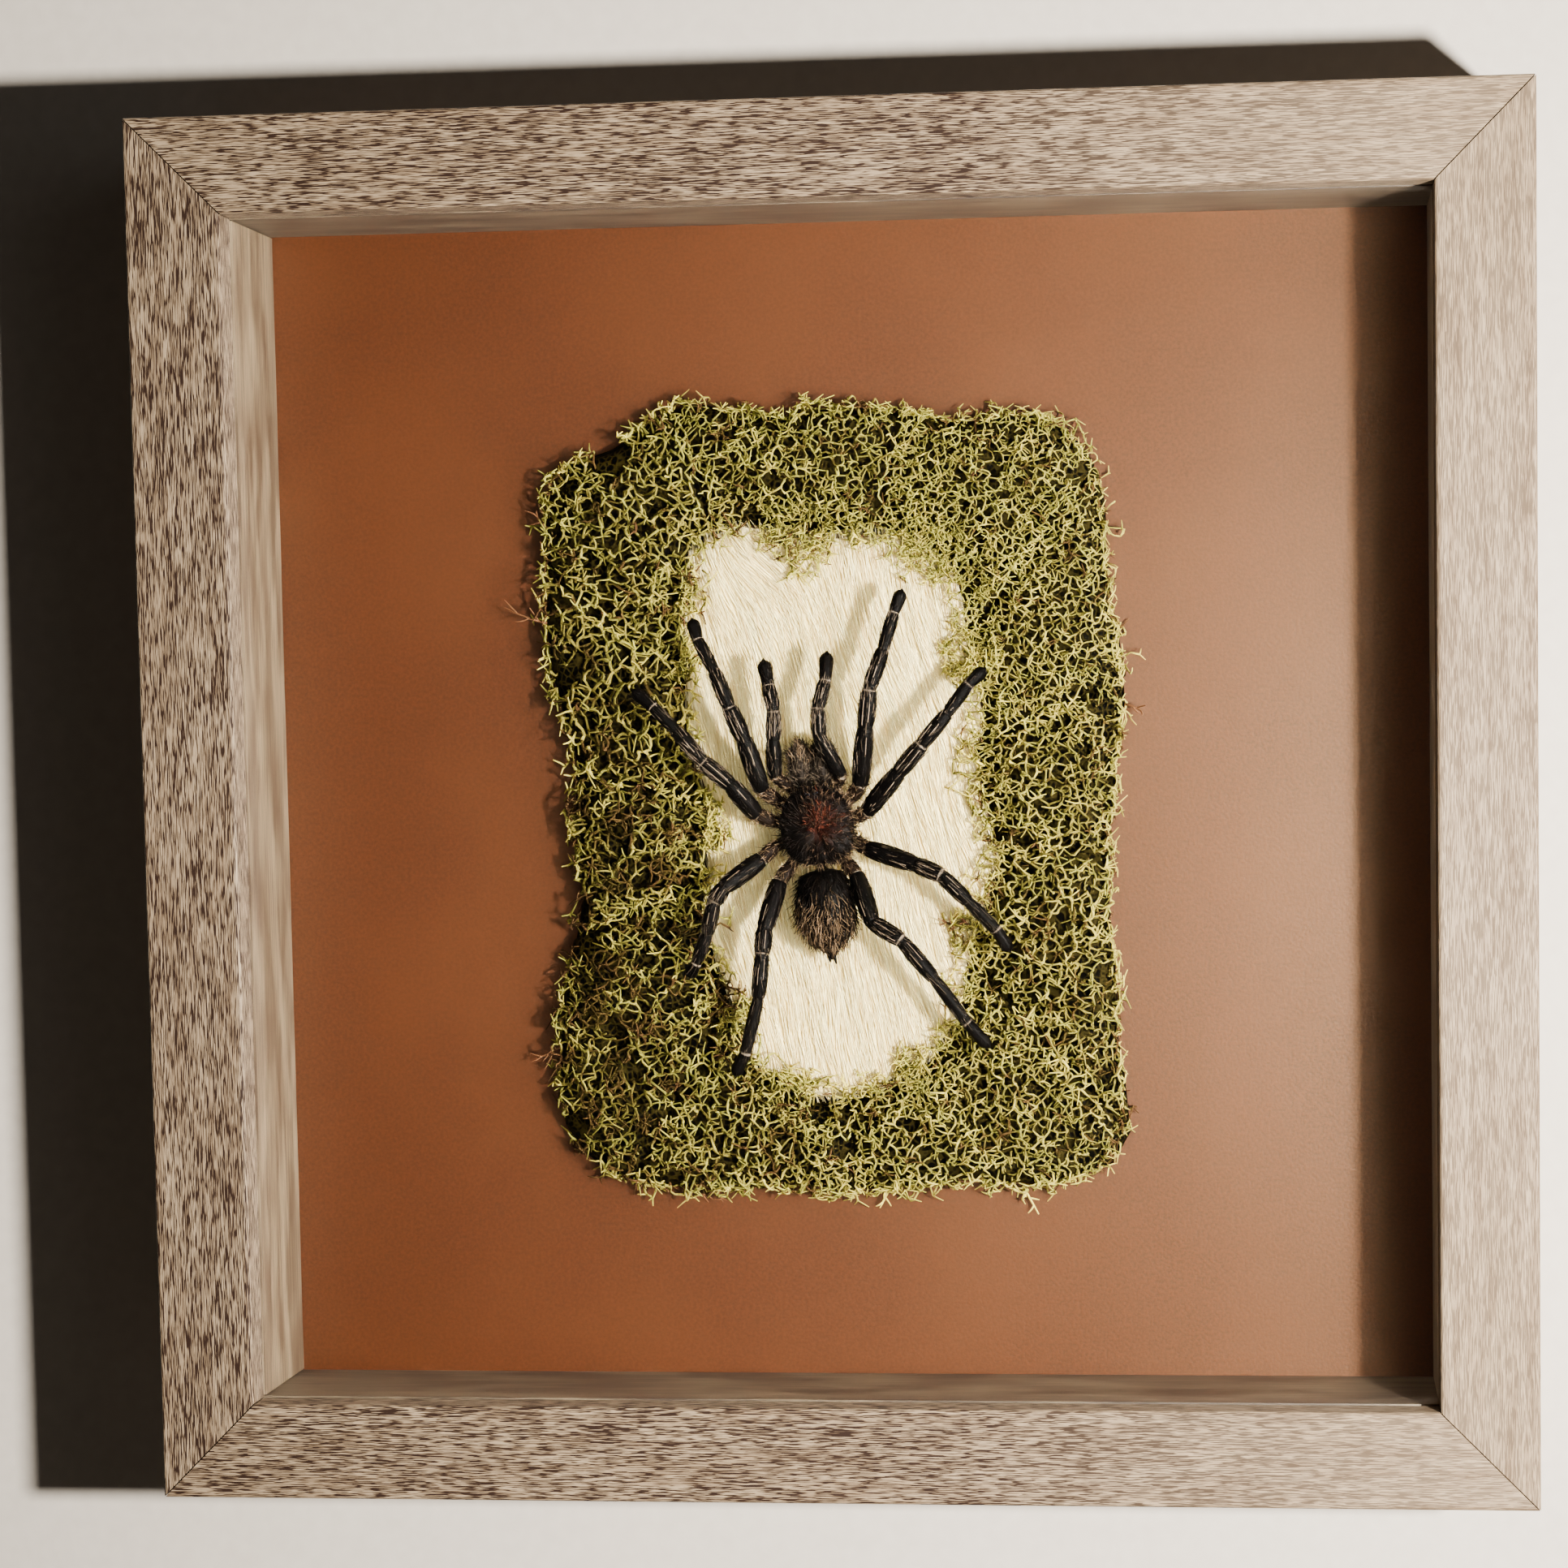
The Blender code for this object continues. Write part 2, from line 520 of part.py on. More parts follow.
def chelicera(name, sideways, skin, parts, cutters):
    """A jaw: an egg ahead of the carapace, with its fang folded underneath."""
    half_width, half_length, half_height = CHELICERA

    def egg(x, y, z):
        return x * half_width, y * half_height * (1 - 0.15 * z), z * half_length

    obj = shaped_sphere(name, 14, 10, egg, skin, parts)
    on_body_axis(obj, 15.6, sideways, CHELICERA_LIFT)
    root, tip, length = (size * MM for size in FANG)
    bm = bmesh.new()
    bmesh.ops.create_cone(bm, cap_ends=True, segments=8, radius1=root, radius2=tip, depth=length)
    fang = mesh_object(name + "_fang", bm, None, cutters)
    fang.matrix_basis = obj.matrix_basis @ Matrix.Translation(Vector(FANG_AT) * MM) @ (
        Matrix.Rotation(FANG_FOLD, 4, "X"))
    boolean(obj, fang, "UNION")


def spider(parts, cutters):
    skin = make_material("spider_skin", (0.030, 0.022, 0.018), 0.55)
    hairy = make_material("spider_abdomen", (0.16, 0.10, 0.065), 0.8)
    prosoma(parts, skin)
    abdomen(parts, hairy)
    chelicera("chelicera_left", -2.95, hairy, parts, cutters)
    chelicera("chelicera_right", 2.85, hairy, parts, cutters)
    for name in LIMBS:
        limb(name, skin, parts)


def build():
    for obj in list(bpy.data.objects):
        bpy.data.objects.remove(obj, do_unlink=True)
    parts = bpy.data.collections.new("framed_tarantula")
    cutters = bpy.data.collections.new("cutters")
    for collection in (parts, cutters):
        bpy.context.scene.collection.children.link(collection)
    wrap = make_material("woodgrain_wrap", (0.40, 0.31, 0.23), 0.5)
    steel = make_material("steel", (0.55, 0.54, 0.52), 0.35, metallic=1.0)
    glass = make_material("glass", (0.9, 0.95, 0.93), 0.02, alpha=0.25)
    card = make_material("board_paper", (0.33, 0.15, 0.07), 0.85)
    frame(parts, cutters, wrap, steel)
    glazing_and_board(parts, glass, wrap, card)
    hanger(parts, cutters, steel)
    fur_pad(parts, make_material("fur", (0.80, 0.72, 0.58), 0.8))
    wreath(parts, make_material("moss", (0.45, 0.42, 0.14), 0.9))
    spider(parts, cutters)


build()
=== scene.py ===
# %% [markdown]
# # A dried tarantula in a shadow box
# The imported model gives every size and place: the box, its glass and board, and a plain solid for each clump
# of moss, for the fur and for each piece of the spider. This lesson puts the looks on it. The box's own
# pieces are right as they are and only get a finish. Moss, fur and spider are far finer than a solid can be,
# so each of them is grown anew with numpy in the form of the solid that it replaces.

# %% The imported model
import math

import bpy
import numpy as np
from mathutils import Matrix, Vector


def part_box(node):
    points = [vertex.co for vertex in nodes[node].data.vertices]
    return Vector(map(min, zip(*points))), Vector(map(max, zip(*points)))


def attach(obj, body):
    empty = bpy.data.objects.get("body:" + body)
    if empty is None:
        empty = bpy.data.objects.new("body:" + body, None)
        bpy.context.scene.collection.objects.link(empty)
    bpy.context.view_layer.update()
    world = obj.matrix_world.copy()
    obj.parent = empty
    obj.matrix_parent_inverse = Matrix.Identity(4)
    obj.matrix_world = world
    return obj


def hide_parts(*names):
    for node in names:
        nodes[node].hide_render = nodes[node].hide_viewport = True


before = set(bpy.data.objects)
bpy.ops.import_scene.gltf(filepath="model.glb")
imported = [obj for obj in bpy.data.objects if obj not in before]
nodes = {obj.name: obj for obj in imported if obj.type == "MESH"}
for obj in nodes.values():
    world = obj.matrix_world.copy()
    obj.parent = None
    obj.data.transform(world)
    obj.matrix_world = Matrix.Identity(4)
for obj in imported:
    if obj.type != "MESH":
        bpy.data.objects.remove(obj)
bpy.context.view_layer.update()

# %% [markdown]
# Everything behind the glass is laid out as on a page: x to the right, z up, and lift off the board, all in
# millimetres from the middle of the board's face. Working in those numbers keeps the formulas readable, and
# x, z and lift make a right-handed set, so a surface that faces outwards on the page still does in the room.

# %% The page
MM = 0.001
board_low, board_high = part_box("backing_board")
BOARD_Y = board_low.y
CENTRE_Z = (board_low.z + board_high.z) / 2


def to_room(page):
    """Page to room: X is x, Y is the board's face minus the lift, Z is the middle's height plus z."""
    return np.stack([page[:, 0] * MM, BOARD_Y - page[:, 2] * MM, CENTRE_Z + page[:, 1] * MM], 1)


def to_page(room):
    """Room to page, the other way round."""
    return np.stack([room[:, 0], room[:, 2] - CENTRE_Z, BOARD_Y - room[:, 1]], 1) / MM


print("board face at y", round(BOARD_Y * 1000, 1), "mm, its middle at z", round(CENTRE_Z * 1000, 1), "mm")

# %% [markdown]
# A surface here is a small bundle of arrays: its points, its four-sided and three-sided faces, a colour for
# each point, and the way the hair lies on it. Bundles can be joined, so a leg and its thousand hairs become
# one mesh. The colour goes into the mesh as an attribute named tint, which the finish reads.

# %% Surfaces and meshes
class Surface:
    """Points (n, 3) on the page in mm, quads (m, 4), triangles (k, 3), tint (n, 3) and flow (n, 3)."""

    def __init__(self, points, quads, triangles, tint, flow=None):
        self.points, self.quads, self.triangles = points, quads, triangles
        self.tint = np.broadcast_to(tint, points.shape).astype(float)
        self.flow = np.zeros_like(points) if flow is None else flow

    def all_triangles(self):
        """Every quad cut along a diagonal, and the triangles."""
        return np.concatenate([self.quads[:, [0, 1, 2]], self.quads[:, [0, 2, 3]], self.triangles])


def join(surfaces):
    """One surface of several: arrays end to end, point numbers moved on by the points before."""
    starts = np.cumsum([0] + [len(s.points) for s in surfaces[:-1]])
    points, tint, flow = (np.concatenate([getattr(s, name) for s in surfaces])
                          for name in ("points", "tint", "flow"))
    quads, triangles = (np.concatenate([getattr(s, name) + start for s, start in zip(surfaces, starts)])
                        for name in ("quads", "triangles"))
    return Surface(points, quads, triangles, tint, flow)


def add_object(name, data):
    """A new object with this data, in the scene."""
    made = bpy.data.objects.new(name, data)
    bpy.context.scene.collection.objects.link(made)
    return made


def put_in(name, surface, material, node):
    """Makes the surface a smooth mesh object in the room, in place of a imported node."""
    mesh = bpy.data.meshes.new(name)
    quads, triangles = surface.quads, surface.triangles
    corners = np.concatenate([quads.ravel(), triangles.ravel()]).astype(np.int32)
    starts = np.concatenate([np.arange(len(quads)) * 4, len(quads) * 4 + np.arange(len(triangles)) * 3])
    mesh.vertices.add(len(surface.points))
    mesh.vertices.foreach_set("co", to_room(surface.points).astype(np.float32).ravel())
    mesh.loops.add(len(corners))
    mesh.loops.foreach_set("vertex_index", corners)
    mesh.polygons.add(len(starts))
    mesh.polygons.foreach_set("loop_start", starts.astype(np.int32))
    mesh.update(calc_edges=True)
    mesh.shade_smooth()
    tint = np.c_[surface.tint, np.ones(len(surface.tint))].astype(np.float32)
    mesh.attributes.new("tint", "FLOAT_COLOR", "POINT").data.foreach_set("color", tint.ravel())
    mesh.materials.append(material)
    made = add_object(name, mesh)
    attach(made, "root")
    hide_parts(node)
    print(name, "has", len(quads) * 2 + len(triangles), "triangles")


print("a surface holds points, faces, tint and flow")

# %% [markdown]
# Strands of moss, hairs and legs are all tubes along a path. Curve objects with a bevel could make them, but
# not by the thousand. So a tube here is rings of points joined by faces, closed at both ends. It may have
# only three sides, because shading rounds it off and a strand is thinner than a pixel or two. The same faces
# later close the body's pieces.

# %% Rings and faces
def unit(vectors):
    """The vectors at length 1."""
    return vectors / np.maximum(np.linalg.norm(vectors, axis=-1, keepdims=True), 1e-9)


def round_angles(sides):
    """Even angles once round, in radians."""
    return np.arange(sides) * 2 * np.pi / sides


def closed_faces(rings, sides):
    """Quads between neighbouring rings of points, and a fan at each end about one more point."""
    ring, side = np.meshgrid(np.arange(rings - 1), np.arange(sides), indexing="ij")
    low, after = ring * sides + side, ring * sides + (side + 1) % sides
    quads = np.stack([low, after, after + sides, low + sides], -1).reshape(-1, 4)
    edge, beyond = np.arange(sides), (np.arange(sides) + 1) % sides
    last = (rings - 1) * sides
    first_fan = np.stack([np.full(sides, rings * sides), beyond, edge], 1)
    last_fan = np.stack([np.full(sides, rings * sides + 1), last + edge, last + beyond], 1)
    return quads, np.concatenate([first_fan, last_fan])


def ring_axes(paths, up=None):
    """At each point of each path: along it, along x up, and along x (along x up), all of length 1."""
    along = unit(np.gradient(paths, axis=1))
    if up is None:
        up = np.eye(3)[np.abs(along.mean(1)).argmin(1)][:, None]
    one = unit(np.cross(along, up))
    return along, one, np.cross(along, one)


print("2 rings of 3 points are closed by", [len(faces) for faces in closed_faces(2, 3)], "quads and fans")

# %% [markdown]
# The tube itself is the ring's circle, drawn about every station of every path at once. Paths are grown from
# a start, a heading and a bend, like a twig that leaves its branch straight and then curves.

# %% Tubes
def tubes(paths, radii, sides, tint, up=None):
    """Closed tubes: ring point = path + radius (cos a one + sin a two); a fan closes each end.

    paths is (tubes, stations, 3), radii (tubes, stations), tint (tubes, stations, 3) or plainer.
    """
    count, stations = radii.shape
    along, one, two = ring_axes(paths, up)
    angle = round_angles(sides)[:, None]
    out = np.cos(angle) * one[:, :, None] + np.sin(angle) * two[:, :, None]
    rings = paths[:, :, None] + radii[:, :, None, None] * out
    tip = paths[:, -1] + along[:, -1] * radii[:, -1:]
    points = np.concatenate([rings.reshape(count, -1, 3), paths[:, :1], tip[:, None]], 1)
    quads, fans = closed_faces(stations, sides)
    step = (np.arange(count) * (stations * sides + 2))[:, None, None]

    def at_points(values):
        """What each station has, for every point of its ring, and for the two points of the fans."""
        return np.concatenate([np.repeat(values, sides, 1), values[:, :1], values[:, -1:]], 1).reshape(-1, 3)

    return Surface(points.reshape(-1, 3), (quads + step).reshape(-1, 4), (fans + step).reshape(-1, 3),
                   at_points(np.broadcast_to(tint, paths.shape)), at_points(along))


def grow(starts, headings, lengths, bends, stations):
    """Paths that leave a start along a heading and curve: start + length (t heading + t squared bend)."""
    t = np.linspace(0, 1, stations)[None, :, None]
    return starts[:, None] + lengths[:, None, None] * (t * headings[:, None] + t ** 2 * bends[:, None])


print("a strand with 3 sides and 4 stations has", 2 * 3 * 3 + 6, "triangles")

# %% [markdown]
# Hair and moss are sown, not placed one by one. A surface is cut into triangles, and each new root falls into
# a triangle with a chance that goes with its area, so a crowded mesh gets no more than an open one. A weight
# at each point thins the crop where the real thing is bald.

# %% Sowing and hair
def sow(surface, count, rng, weight=None):
    """Random places on a surface, with the surface's normal and flow there."""
    triangles = surface.all_triangles()
    corners = surface.points[triangles]
    cross = np.cross(corners[:, 1] - corners[:, 0], corners[:, 2] - corners[:, 0])
    chance = np.linalg.norm(cross, axis=1)
    if weight is not None:
        chance = chance * weight[triangles].mean(1)
    picked = rng.choice(len(triangles), count, p=chance / chance.sum())
    u, v = rng.random((2, count))
    u, v = np.where(u + v > 1, 1 - u, u), np.where(u + v > 1, 1 - v, v)
    shares = np.stack([1 - u - v, u, v], 1)[:, :, None]
    spots = (corners[picked] * shares).sum(1)
    return spots, unit(cross[picked]), unit((surface.flow[triangles[picked]] * shares).sum(1))


# A hair: its share of the thickness at the root and the tip, how deep its root is in mm, and how far it
# curves back.
HAIR_TAPER, ROOT_DEPTH, CURVE_BACK = np.array([1.0, 0.45]), 0.08, 0.45


def hairs(surface, rng, weight, count, length, thick, lean, colours, stray=0.25):
    """Hairs sown on a surface. Each leaves it along flow cos lean + normal sin lean, curving back to it."""
    spots, normals, flow = sow(surface, count, rng, weight)
    flow = unit(flow - normals * (flow * normals).sum(1, keepdims=True))
    lean = np.radians(rng.uniform(*lean, count))[:, None]
    heading = unit(flow * np.cos(lean) + normals * np.sin(lean) + rng.normal(0, stray, (count, 3)))
    lengths = rng.uniform(*length, count)
    bends = -CURVE_BACK * normals * np.sin(lean) + rng.normal(0, 0.08, (count, 3))
    paths = grow(spots - normals * ROOT_DEPTH, heading, lengths, bends, len(HAIR_TAPER))
    radii = thick * rng.uniform(0.75, 1.2, count)[:, None] * HAIR_TAPER
    mix = rng.random((count, 1, 1)) ** 1.6
    return tubes(paths, radii, 3, np.array(colours[0]) * (1 - mix) + np.array(colours[1]) * mix)


print("a hair tapers to", HAIR_TAPER[1], "of its radius and has", 2 * 3 + 6, "triangles")

# %% [markdown]
# A finish is a tree of shader nodes. Short helpers keep each one readable: one adds a node and joins its
# inputs, and others make a colour ramp or mix colours.

# %% Helpers for finishes
def new_finish(name, roughness, **settings):
    """A Principled material with plain settings on the shader's own sockets, and its tree."""
    made = bpy.data.materials.new(name)
    made.use_nodes = True
    for socket, value in {"Roughness": roughness, **settings}.items():
        made.node_tree.nodes["Principled BSDF"].inputs[socket.replace("_", " ")].default_value = value
    return made, made.node_tree


def add(tree, kind, inputs, output=0, **settings):
    """Adds a node, sets or joins its inputs, and returns one of its outputs."""
    made = tree.nodes.new("ShaderNode" + kind)
    for setting, value in settings.items():
        setattr(made, setting, value)
    for socket, value in inputs.items():
        if isinstance(value, bpy.types.NodeSocket):
            tree.links.new(value, made.inputs[socket])
        else:
            made.inputs[socket].default_value = value
    return made.outputs[output]


def feed(tree, value, socket="Base Color"):
    """Joins a value to a socket of the shader."""
    tree.links.new(value, tree.nodes["Principled BSDF"].inputs[socket])


def calc(tree, how, one, two):
    """Two numbers added, multiplied or compared."""
    return add(tree, "Math", {0: one, 1: two}, operation=how)


def ramp(tree, value, *stops):
    """A colour ramp over (place, colour) stops; a plain number is a grey."""
    made = tree.nodes.new("ShaderNodeValToRGB")
    tree.links.new(value, made.inputs[0])
    bar = made.color_ramp.elements
    while len(bar) < len(stops):
        bar.new(1.0)
    for element, (place, colour) in zip(bar, stops):
        element.position, element.color = place, (*np.broadcast_to(colour, 3), 1)
    return made.outputs[0]


def blend(tree, factor, one, two, how="MIX"):
    """Two colours mixed by a factor."""
    return add(tree, "Mix", {0: factor, 6: one, 7: two}, 2, data_type="RGBA", blend_type=how)


def times(tree, one, two):
    """Two colours multiplied."""
    return blend(tree, 1.0, one, two, "MULTIPLY")


print("a stop of 0.42 is the grey", np.broadcast_to(0.42, 3).tolist())

# %% [markdown]
# Wood, paper, dust and lichen are all uneven in their own size of grain. Noise gives that at any distance,
# where an image would show its pixels. The same noise can also raise the surface a little.

# %% Patterns
def place(tree):
    """The point's place in the room in metres: its Object coordinates, as each object sits at the origin."""
    return add(tree, "TexCoord", {}, 3)


def grained(tree, size, detail=2.0, roughness=0.5, turn=(0, 0, 0)):
    """Noise whose grains measure size in millimetres: one number, or one each for x, y and z."""
    scale = tuple(1000 / s for s in np.broadcast_to(size, 3))
    scaled = add(tree, "Mapping", {0: place(tree), 2: turn, 3: scale})
    return add(tree, "TexNoise", {"Vector": scaled, "Scale": 1.0, "Detail": detail, "Roughness": roughness})


def bump(tree, height, strength, distance):
    """Relief on the shader: a height between 0 and 1, and the distance in metres that 1 stands for."""
    feed(tree, add(tree, "Bump", {"Height": height, "Strength": strength, "Distance": distance}), "Normal")


def tint_of(tree):
    """The colour that each point of a mesh carries."""
    return add(tree, "Attribute", {}, 0, attribute_name="tint")


print("a grain of 4 mm is noise of scale", 1000 / 4)

# %% [markdown]
# ## The box
# The rails are wrapped in a printed wood-grain foil: greyish beige with rows of short dark pores that run
# along each rail. They could be drawn in an image, but an image shows its repeats and its pixels close by.
# Noise that is stretched some 25 times along the rail and cut off at a threshold gives such pores at any
# distance, and a slower noise crowds them in some places. The rails' backs show the bare fibreboard under the
# foil.

# %% Wood-grain foil
# Colours are shares of red, green and blue light. The beige's paler and greyer parts come first.
BEIGE, BEIGE_GREY = (0.30, 0.222, 0.142), (0.21, 0.147, 0.09)
PORE, PORE_EDGE = (0.015, 0.0055, 0.0022), (0.070, 0.036, 0.017)
FIBREBOARD = (0.26, 0.17, 0.10)
# Length and width in mm of the pores, of the places where they crowd, and of the beige's clouds.
PORES, CROWDS, CLOUDS = (4.4, 0.17), (9, 4), (22, 1.6)
CROWDING = 0.16
# The pores fade towards the right, a painted glare of the lamp on the right rail: x in metres and the
# pores' strength there.
PORES_CLEAR_OF_GLARE, PORES_UNDER_PAINTED_GLARE = (0.04, 1.0), (0.16, 0.58)
frame_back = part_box("rail_top")[1].y


def long_grain(along, length, width):
    """Grain sizes in x, y and z for a grain that runs along one axis."""
    size = [width, width, width]
    size[along] = length
    return size


def foil(name, along):
    """Wood-grain foil along one axis (0 for x, 2 for z): beige, dark where pores are, fading right as painted
    glare.
    """
    made, tree = new_finish(name, 0.40, Specular_IOR_Level=0.22)
    clouds = grained(tree, long_grain(along, *CLOUDS), 3.0, 0.6)
    base = ramp(tree, clouds, (0.34, BEIGE_GREY), (0.62, BEIGE))
    fine = grained(tree, long_grain(along, *PORES), 1.5, 0.45)
    crowd = grained(tree, long_grain(along, *CROWDS), 1.0, 0.5)
    height = calc(tree, "ADD", fine, calc(tree, "MULTIPLY", crowd, CROWDING))
    dark = ramp(tree, height, (0.53, 0.0), (0.55, 0.55), (0.60, 1.0))
    x, y = (add(tree, "SeparateXYZ", {0: place(tree)}, axis) for axis in (0, 1))
    # Painted glare: the pores' strength falls from left to right.
    strength = add(tree, "MapRange", {0: x, 1: PORES_CLEAR_OF_GLARE[0], 2: PORES_UNDER_PAINTED_GLARE[0],
                                      3: PORES_CLEAR_OF_GLARE[1], 4: PORES_UNDER_PAINTED_GLARE[1]})
    pores = ramp(tree, dark, (0.35, PORE_EDGE), (0.95, PORE))
    foiled = blend(tree, calc(tree, "MULTIPLY", dark, strength), base, pores)
    bare = calc(tree, "GREATER_THAN", y, frame_back - 0.0002)
    feed(tree, blend(tree, bare, foiled, (*FIBREBOARD, 1)))
    feed(tree, ramp(tree, dark, (0.0, 0.42), (1.0, 0.7)), "Roughness")
    bump(tree, calc(tree, "SUBTRACT", 1.0, dark), 0.25, 0.0002)
    return made


face_across, face_up = foil("foil_across", 0), foil("foil_up", 2)
print("pores", PORES, "mm, crowding in places of", CROWDS, "mm")

# %% [markdown]
# The four inner walls hold the pane off the board. Their foil is calmer: long thin brown lines and slow
# clouds, without pores. It is darker than the rails' foil, and a painted shade darkens it further, most on
# the two walls that lie, which face away from the lamp. So the recipe takes a painted shade and is made twice.

# %% Foil of the inner walls
WALL_PALE, WALL_BROWN = np.array((0.20, 0.145, 0.085)), np.array((0.045, 0.025, 0.012))
# Length and width in mm of the brown lines and of the clouds.
WALL_LINES, WALL_CLOUDS = (34, 0.30), (30, 7)
# The painted shade of the walls that lie, and of those that stand: how much it darkens their foil.
LYING_PAINTED_SHADE, STANDING_PAINTED_SHADE = 0.42, 0.72


def plain_foil(name, along, painted_shade):
    """The calmer foil of the inner walls: long thin brown lines on pale beige, no pores; a painted shade
    darkens it.
    """
    made, tree = new_finish(name, 0.5)
    lines = grained(tree, long_grain(along, *WALL_LINES), 3.0, 0.7)
    cloud = grained(tree, long_grain(along, *WALL_CLOUDS), 2.0, 0.5)
    mixed = calc(tree, "ADD", lines, calc(tree, "MULTIPLY", cloud, 0.5))
    feed(tree, ramp(tree, mixed, (0.63, painted_shade * WALL_PALE), (0.80, painted_shade * WALL_BROWN)))
    bump(tree, lines, 0.15, 0.0001)
    return made


def wear(node, material):
    """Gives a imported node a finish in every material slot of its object."""
    for slot in nodes[node].material_slots:
        slot.material = material


# Painted shade: the lying walls face away from the lamp and get the darker copy.
wall_across = plain_foil("foil_wall_across", 0, LYING_PAINTED_SHADE)
wall_up = plain_foil("foil_wall_up", 2, STANDING_PAINTED_SHADE)
FOILS = {"top": (face_across, wall_across), "bottom": (face_across, wall_across),
         "left": (face_up, wall_up), "right": (face_up, wall_up)}
for side, (face, wall) in FOILS.items():
    wear("rail_" + side, face)
    wear("spacer_" + side, wall)
print("foil on 4 rails and 4 inner walls")

# %% [markdown]
# The board's face is a rust-brown paper with a fine felted grain, and its back is plain fibreboard. They are
# one piece, so one finish asks how deep a point lies and takes the paper or the fibres. The paper shines a
# little and warmly where the lamp grazes it, which is why it looks paler to the right.

# %% Board
RUST, RUST_DARK, RUST_PALE = (0.035, 0.0072, 0.0014), (0.013, 0.0021, 0.0003), (0.039, 0.0097, 0.0022)
RUST_SHINE = (1.0, 0.70, 0.44, 1)
FIBRE_DARK, FIBRE_PALE = (0.22, 0.14, 0.08), (0.34, 0.23, 0.14)
PAPER_BACK = BOARD_Y + 0.001
paper, tree = new_finish("rust_paper", 0.44, Specular_IOR_Level=0.52, Specular_Tint=RUST_SHINE)
felt = grained(tree, 0.9, 4.0, 0.65)
cloud = ramp(tree, grained(tree, 60), (0.4, 0.0), (0.62, 0.35))
face = blend(tree, cloud, ramp(tree, felt, (0.36, RUST_DARK), (0.64, RUST)), (*RUST_PALE, 1))
depth = add(tree, "SeparateXYZ", {0: place(tree)}, 1)
fibres = ramp(tree, grained(tree, (3, 3, 0.8), 4.0), (0.35, FIBRE_DARK), (0.65, FIBRE_PALE))
feed(tree, blend(tree, calc(tree, "GREATER_THAN", depth, PAPER_BACK), face, fibres))
bump(tree, felt, 0.25, 0.0002)
wear("backing_board", paper)
print("paper on the board's face, fibres behind y", round(PAPER_BACK * 1000, 1), "mm")

# %% [markdown]
# The pane is ordinary clear glass: it bends light by its index of refraction and has no colour to speak of.
# It lets the lamps through without a shadow, as thin clear glass does. The tabs, the hanger and the brads are
# zinc-plated steel, which is a metal with a dull spangle.

# %% Glass and steel
GLASS_TINT, GLASS_BEND = (0.99, 1.0, 0.995, 1), 1.45
glass, tree = new_finish("clear_glass", 0.0, Base_Color=GLASS_TINT, Transmission_Weight=1.0, IOR=GLASS_BEND)
wear("glass_pane", glass)
nodes["glass_pane"].visible_shadow = False

steel, tree = new_finish("zinc_steel", 0.35, Metallic=1.0)
spangle = grained(tree, 2.5, 3.0)
feed(tree, ramp(tree, spangle, (0.3, (0.42, 0.42, 0.41)), (0.7, (0.62, 0.61, 0.59))))
feed(tree, ramp(tree, spangle, (0.3, 0.28), (0.7, 0.46)), "Roughness")
hardware = [name for name in nodes if name.startswith(("board_tab", "brad_", "sawtooth"))]
for name in hardware:
    wear(name, steel)
print("steel on", len(hardware), "small pieces")

# %% [markdown]
# ## Where the limbs are
# Moss must not grow through a leg, so the legs' joints come first. Each limb starts where it leaves the
# carapace and has a heading, a length and a height for every segment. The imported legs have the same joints.

# %% The limbs' joints
# The carapace's middle on the page, and how far from it the limbs' inner ends are.
PROSOMA_AT, COXA_FROM = (-6.2, -4.9), 7.7
# The radius of each segment in mm, from the body out.
LEG_RADII = (1.8, 2.0, 2.6, 2.35, 2.1, 1.75, 1.8)
PALP_RADII = (1.5, 1.7, 2.1, 2.0, 1.9, 1.95)
